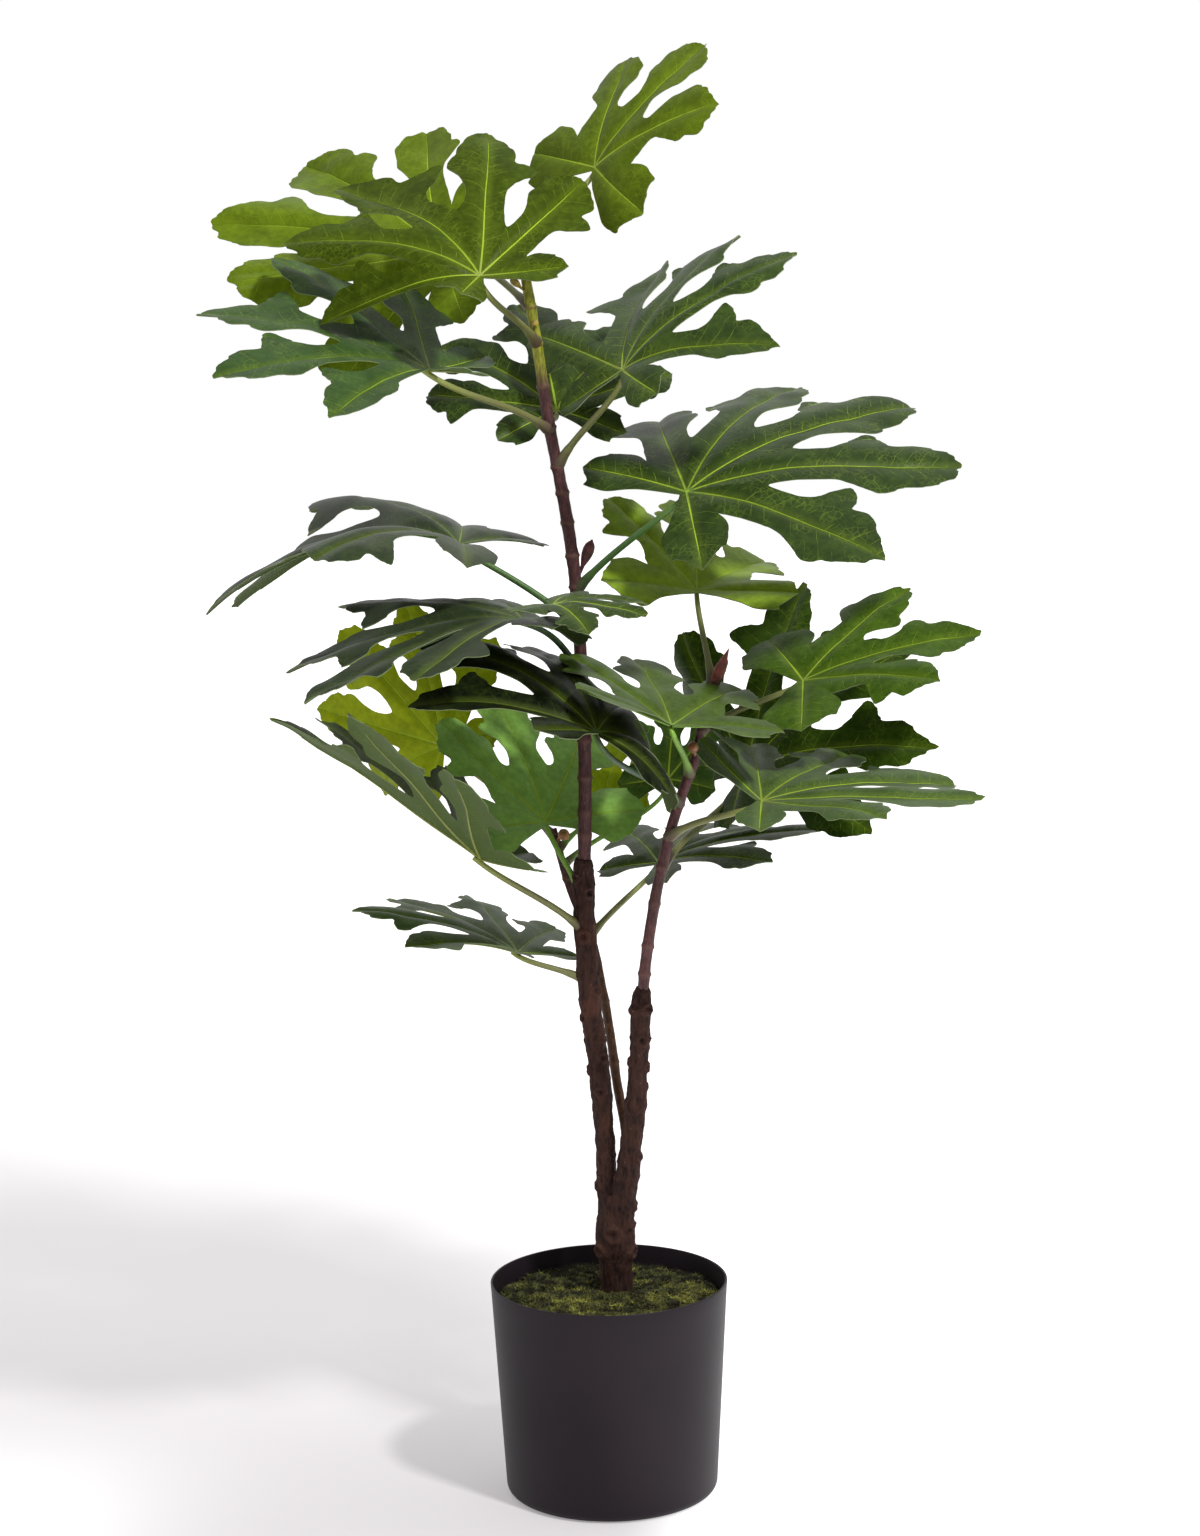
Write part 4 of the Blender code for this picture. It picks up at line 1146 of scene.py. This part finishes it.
class FIGTREE_OT_trunk(bpy.types.Operator):
    """Make the trunk and its two legs with their bark"""
    bl_idname = "figtree.trunk"
    bl_label = "Trunk"

    def execute(self, context):
        settings = context.scene.fig_wood
        bm = bmesh.new()
        for limb in (FOOT, LEFT_LEG, RIGHT_LEG):
            stem_tube(bm, limb, 28, 0.003)
        face_outward(bm)
        mesh = bpy.data.meshes.new("limbs")
        bm.to_mesh(mesh)
        bm.free()
        limbs = bpy.data.objects.new("limbs", mesh)
        context.scene.collection.objects.link(limbs)
        remesh = limbs.modifiers.new("Join", "REMESH")
        remesh.mode = "VOXEL"
        remesh.voxel_size = settings.voxel * 1.0
        joined = bpy.data.meshes.new_from_object(limbs.evaluated_get(context.evaluated_depsgraph_get()))
        bpy.data.objects.remove(limbs, do_unlink=True)
        bm = bmesh.new()
        bm.from_mesh(joined)
        bmesh.ops.smooth_vert(bm, verts=bm.verts[:], factor=0.5, use_axis_x=True, use_axis_y=True,
                              use_axis_z=True)
        bark_relief(bm, settings)
        add_piece("trunk_bark", bm, [bark(settings)], ["trunk"], 80.0)
        return {"FINISHED"}


class FIGTREE_OT_stems(bpy.types.Operator):
    """Make the three upper stems with their rings, and the figs and buds on them"""
    bl_idname = "figtree.stems"
    bl_label = "Stems and figs"

    def execute(self, context):
        settings = context.scene.fig_wood
        brown = tuple(settings.stem)
        skins = {
            "main_stem": stem_skin("main_stem_skin", brown, tuple(settings.shoot), 0.915, 0.948),
            "right_stem": stem_skin("right_stem_skin", brown, (0.200, 0.100, 0.030), 0.684, 0.692),
            "back_stem": stem_skin("back_stem_skin", (0.110, 0.046, 0.020), brown, 0.40, 0.50),
        }
        for name, skin in skins.items():
            bm = bmesh.new()
            stem_tube(bm, STEMS[name], 22, 0.0016)
            face_outward(bm)
            ring_relief(bm, STEMS[name])
            add_piece(name + "_skin", bm, [skin], [name], 60.0)
        for number, (base, tip, radius, tint) in enumerate(FRUITS, start=1):
            base, tip = Vector(base), Vector(tip)
            shape = BUD_PROFILE if tint == "red" else FIG_PROFILE
            bm = bmesh.new()
            tube(bm, [base.lerp(tip, t) for t, _ in shape], [radius * k for _, k in shape], 16)
            face_outward(bm)
            skin = fruit_skin(f"fig_skin_{number}", FRUIT_TINTS[tint])
            add_piece(f"fig_{number}", bm, [skin], (), 60.0)
        return {"FINISHED"}


class FIGTREE_OT_leaves(bpy.types.Operator):
    """Make every leaf: its blade, its stalk and its ribs"""
    bl_idname = "figtree.leaves"
    bl_label = "Leaves"

    def execute(self, context):
        settings = context.scene.fig_leaf
        vein = tuple(settings.vein)
        faces = {}
        for name, tint in TINTS.items():
            color = tuple(getattr(settings, name))
            faces[name] = [blade_top(name + "_blade", color, vein, tint.clear, tint.sheen),
                           blade_under(name + "_back", color, vein, tint.sheen, tint.paleness)]
        edge = blade_edge(tuple(settings.edge))
        stalks = {name: stalk_skin(name + "_stalk", *tints) for name, tints in STALK_TINTS.items()}
        for number, leaf in enumerate(LEAVES, start=1):
            blade = Blade(number, leaf, settings)
            slot = next((name for name, numbers in SLOTS.items() if number in numbers), "dark_leaf")
            skin = next((name for name, numbers in STALKS.items() if number in numbers), "olive")
            add_piece(f"blade_{number:02d}", blade.cloth(), [*faces[leaf.tint], edge],
                      [f"leaf_{number:02d}"], 45.0)
            add_piece(f"stalk_{number:02d}", blade.stalk(), [stalks[skin]], (), 60.0)
        return {"FINISHED"}


class FIGTREE_OT_stage(bpy.types.Operator):
    """Make the floor, the lights and the camera"""
    bl_idname = "figtree.stage"
    bl_label = "Stage"

    def execute(self, context):
        settings = context.scene.fig_stage
        scene = context.scene
        bm = bmesh.new()
        bmesh.ops.create_circle(bm, cap_ends=True, segments=96, radius=settings.floor_radius)
        mesh = bpy.data.meshes.new("floor")
        bm.to_mesh(mesh)
        bm.free()
        floor = bpy.data.objects.new("floor", mesh)
        scene.collection.objects.link(floor)
        # Painted light and shade: the floor glows white far off and to the right of the pot, and glows less
        # in the painted shade and in front of the pot.
        finish = Finish("floor_paint", 0.0)
        haze = finish.speckle(3.0)
        x, y = (finish.along(finish.place, axis) for axis in "XY")
        shaded = finish.node("ShaderNodeMapping", {"vector_type": "TEXTURE"},
                             {"Vector": finish.place, "Location": settings.shade_centre,
                              "Rotation": (0.0, 0.0, settings.shade_turn),
                              "Scale": (settings.shade_length, settings.shade_width, 1.0)})
        away = finish.node("ShaderNodeVectorMath", {"operation": "LENGTH"}, {0: shaded}, out="Value")
        near = finish.node("ShaderNodeMapRange", {}, {0: away, 1: 0.45, 2: 1.05})
        rim = 1.0 - (1.0 - near) * (1.0 - finish.away(LIT_CORNER).fall(0.10, 0.46))
        glow = finish.blend(y.rise(0.05, 0.5), SHADE_GLOW, FAR_SHADE_GLOW)
        glow = finish.blend(rim, glow, SHADE_RIM_GLOW)
        glow = finish.blend(finish.away(DIM_FRONT).fall(0.08, 0.38), glow, FRONT_GLOW)
        glow = finish.blend(1.0 - away.fall(1.05, 1.7) * (1.0 - x.rise(0.0, 0.12)), glow, WHITE)
        paint = finish.tones(haze, settings.floor, 1.0, 0.985)
        mesh.materials.append(finish.coat(paint, 0.8 + haze * 0.1, glow=glow))

        key = bpy.data.lights.new("key", "AREA")
        key.energy = settings.key_power
        key.size = settings.key_size
        lamp = bpy.data.objects.new("key", key)
        lamp.location = settings.key_place
        lamp.rotation_euler = (Vector((0, 0, 0.6)) - lamp.location).to_track_quat("-Z", "Y").to_euler()
        scene.collection.objects.link(lamp)

        world = bpy.data.worlds.new("studio")
        scene.world = world
        world.use_nodes = True
        sky = Nodes(world.node_tree)
        way = sky.node("ShaderNodeTexCoord", {}, {}, out="Generated")
        overhead = sky.node("ShaderNodeVectorMath", {"operation": "DOT_PRODUCT"},
                            {0: way, 1: BRIGHT_SIDE_OF_ROOM}, out="Value")
        dimmest, brightest = settings.room_light * 0.35, settings.room_light * 2.7
        room = sky.node("ShaderNodeMapRange", {}, {0: overhead, 1: -0.5, 2: 0.95, 3: dimmest, 4: brightest})
        seen = sky.node("ShaderNodeLightPath", {}, {}, out="Is Camera Ray")
        background = world.node_tree.nodes["Background"].inputs
        sky.feed(background["Strength"], sky.node("ShaderNodeMix", {}, {0: seen, 2: room, 3: 1.0}))
        sky.feed(background["Color"], WHITE)

        camera = bpy.data.cameras.new("camera")
        camera.sensor_width = SENSOR_MM
        camera.lens = SENSOR_MM * FOCAL_LENGTH_PX / PHOTO_HEIGHT_PX
        holder = bpy.data.objects.new("camera", camera)
        holder.location = (0.0, -CAMERA_DISTANCE, CAMERA_HEIGHT)
        pitch = Matrix.Rotation(radians(90 - CAMERA_PITCH), 4, "X")
        holder.rotation_euler = (pitch @ Matrix.Rotation(radians(CAMERA_ROLL), 4, "Z")).to_euler()
        scene.collection.objects.link(holder)
        scene.camera = holder
        scene.view_settings.view_transform = "Standard"
        return {"FINISHED"}


OPERATORS = (FIGTREE_OT_stage, FIGTREE_OT_pot, FIGTREE_OT_moss, FIGTREE_OT_trunk, FIGTREE_OT_stems,
             FIGTREE_OT_leaves)
SETTINGS = {"fig_stage": StageSettings, "fig_pot": PotSettings, "fig_moss": MossSettings,
            "fig_wood": WoodSettings, "fig_leaf": LeafSettings}


class FIGTREE_PT_panel(bpy.types.Panel):
    """Settings and steps of the potted fig tree"""
    bl_label = "Potted fig tree"
    bl_idname = "FIGTREE_PT_panel"
    bl_space_type = "VIEW_3D"
    bl_region_type = "UI"
    bl_category = SIDEBAR_TAB

    def draw(self, context):
        for name, group in SETTINGS.items():
            box = self.layout.box()
            for key in group.__annotations__:
                box.prop(getattr(context.scene, name), key)
        for operator in OPERATORS:
            self.layout.operator(operator.bl_idname)


def register():
    for group in SETTINGS.values():
        bpy.utils.register_class(group)
    for cls in (*OPERATORS, FIGTREE_PT_panel):
        bpy.utils.register_class(cls)
    for name, group in SETTINGS.items():
        setattr(bpy.types.Scene, name, PointerProperty(type=group))


def unregister():
    for name in SETTINGS:
        delattr(bpy.types.Scene, name)
    for cls in (FIGTREE_PT_panel, *reversed(OPERATORS)):
        bpy.utils.unregister_class(cls)
    for group in reversed(SETTINGS.values()):
        bpy.utils.unregister_class(group)


def main():
    register()
    for operator in OPERATORS:
        area, step = operator.bl_idname.split(".")
        getattr(getattr(bpy.ops, area), step)()
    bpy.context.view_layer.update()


if __name__ == "__main__":
    main()
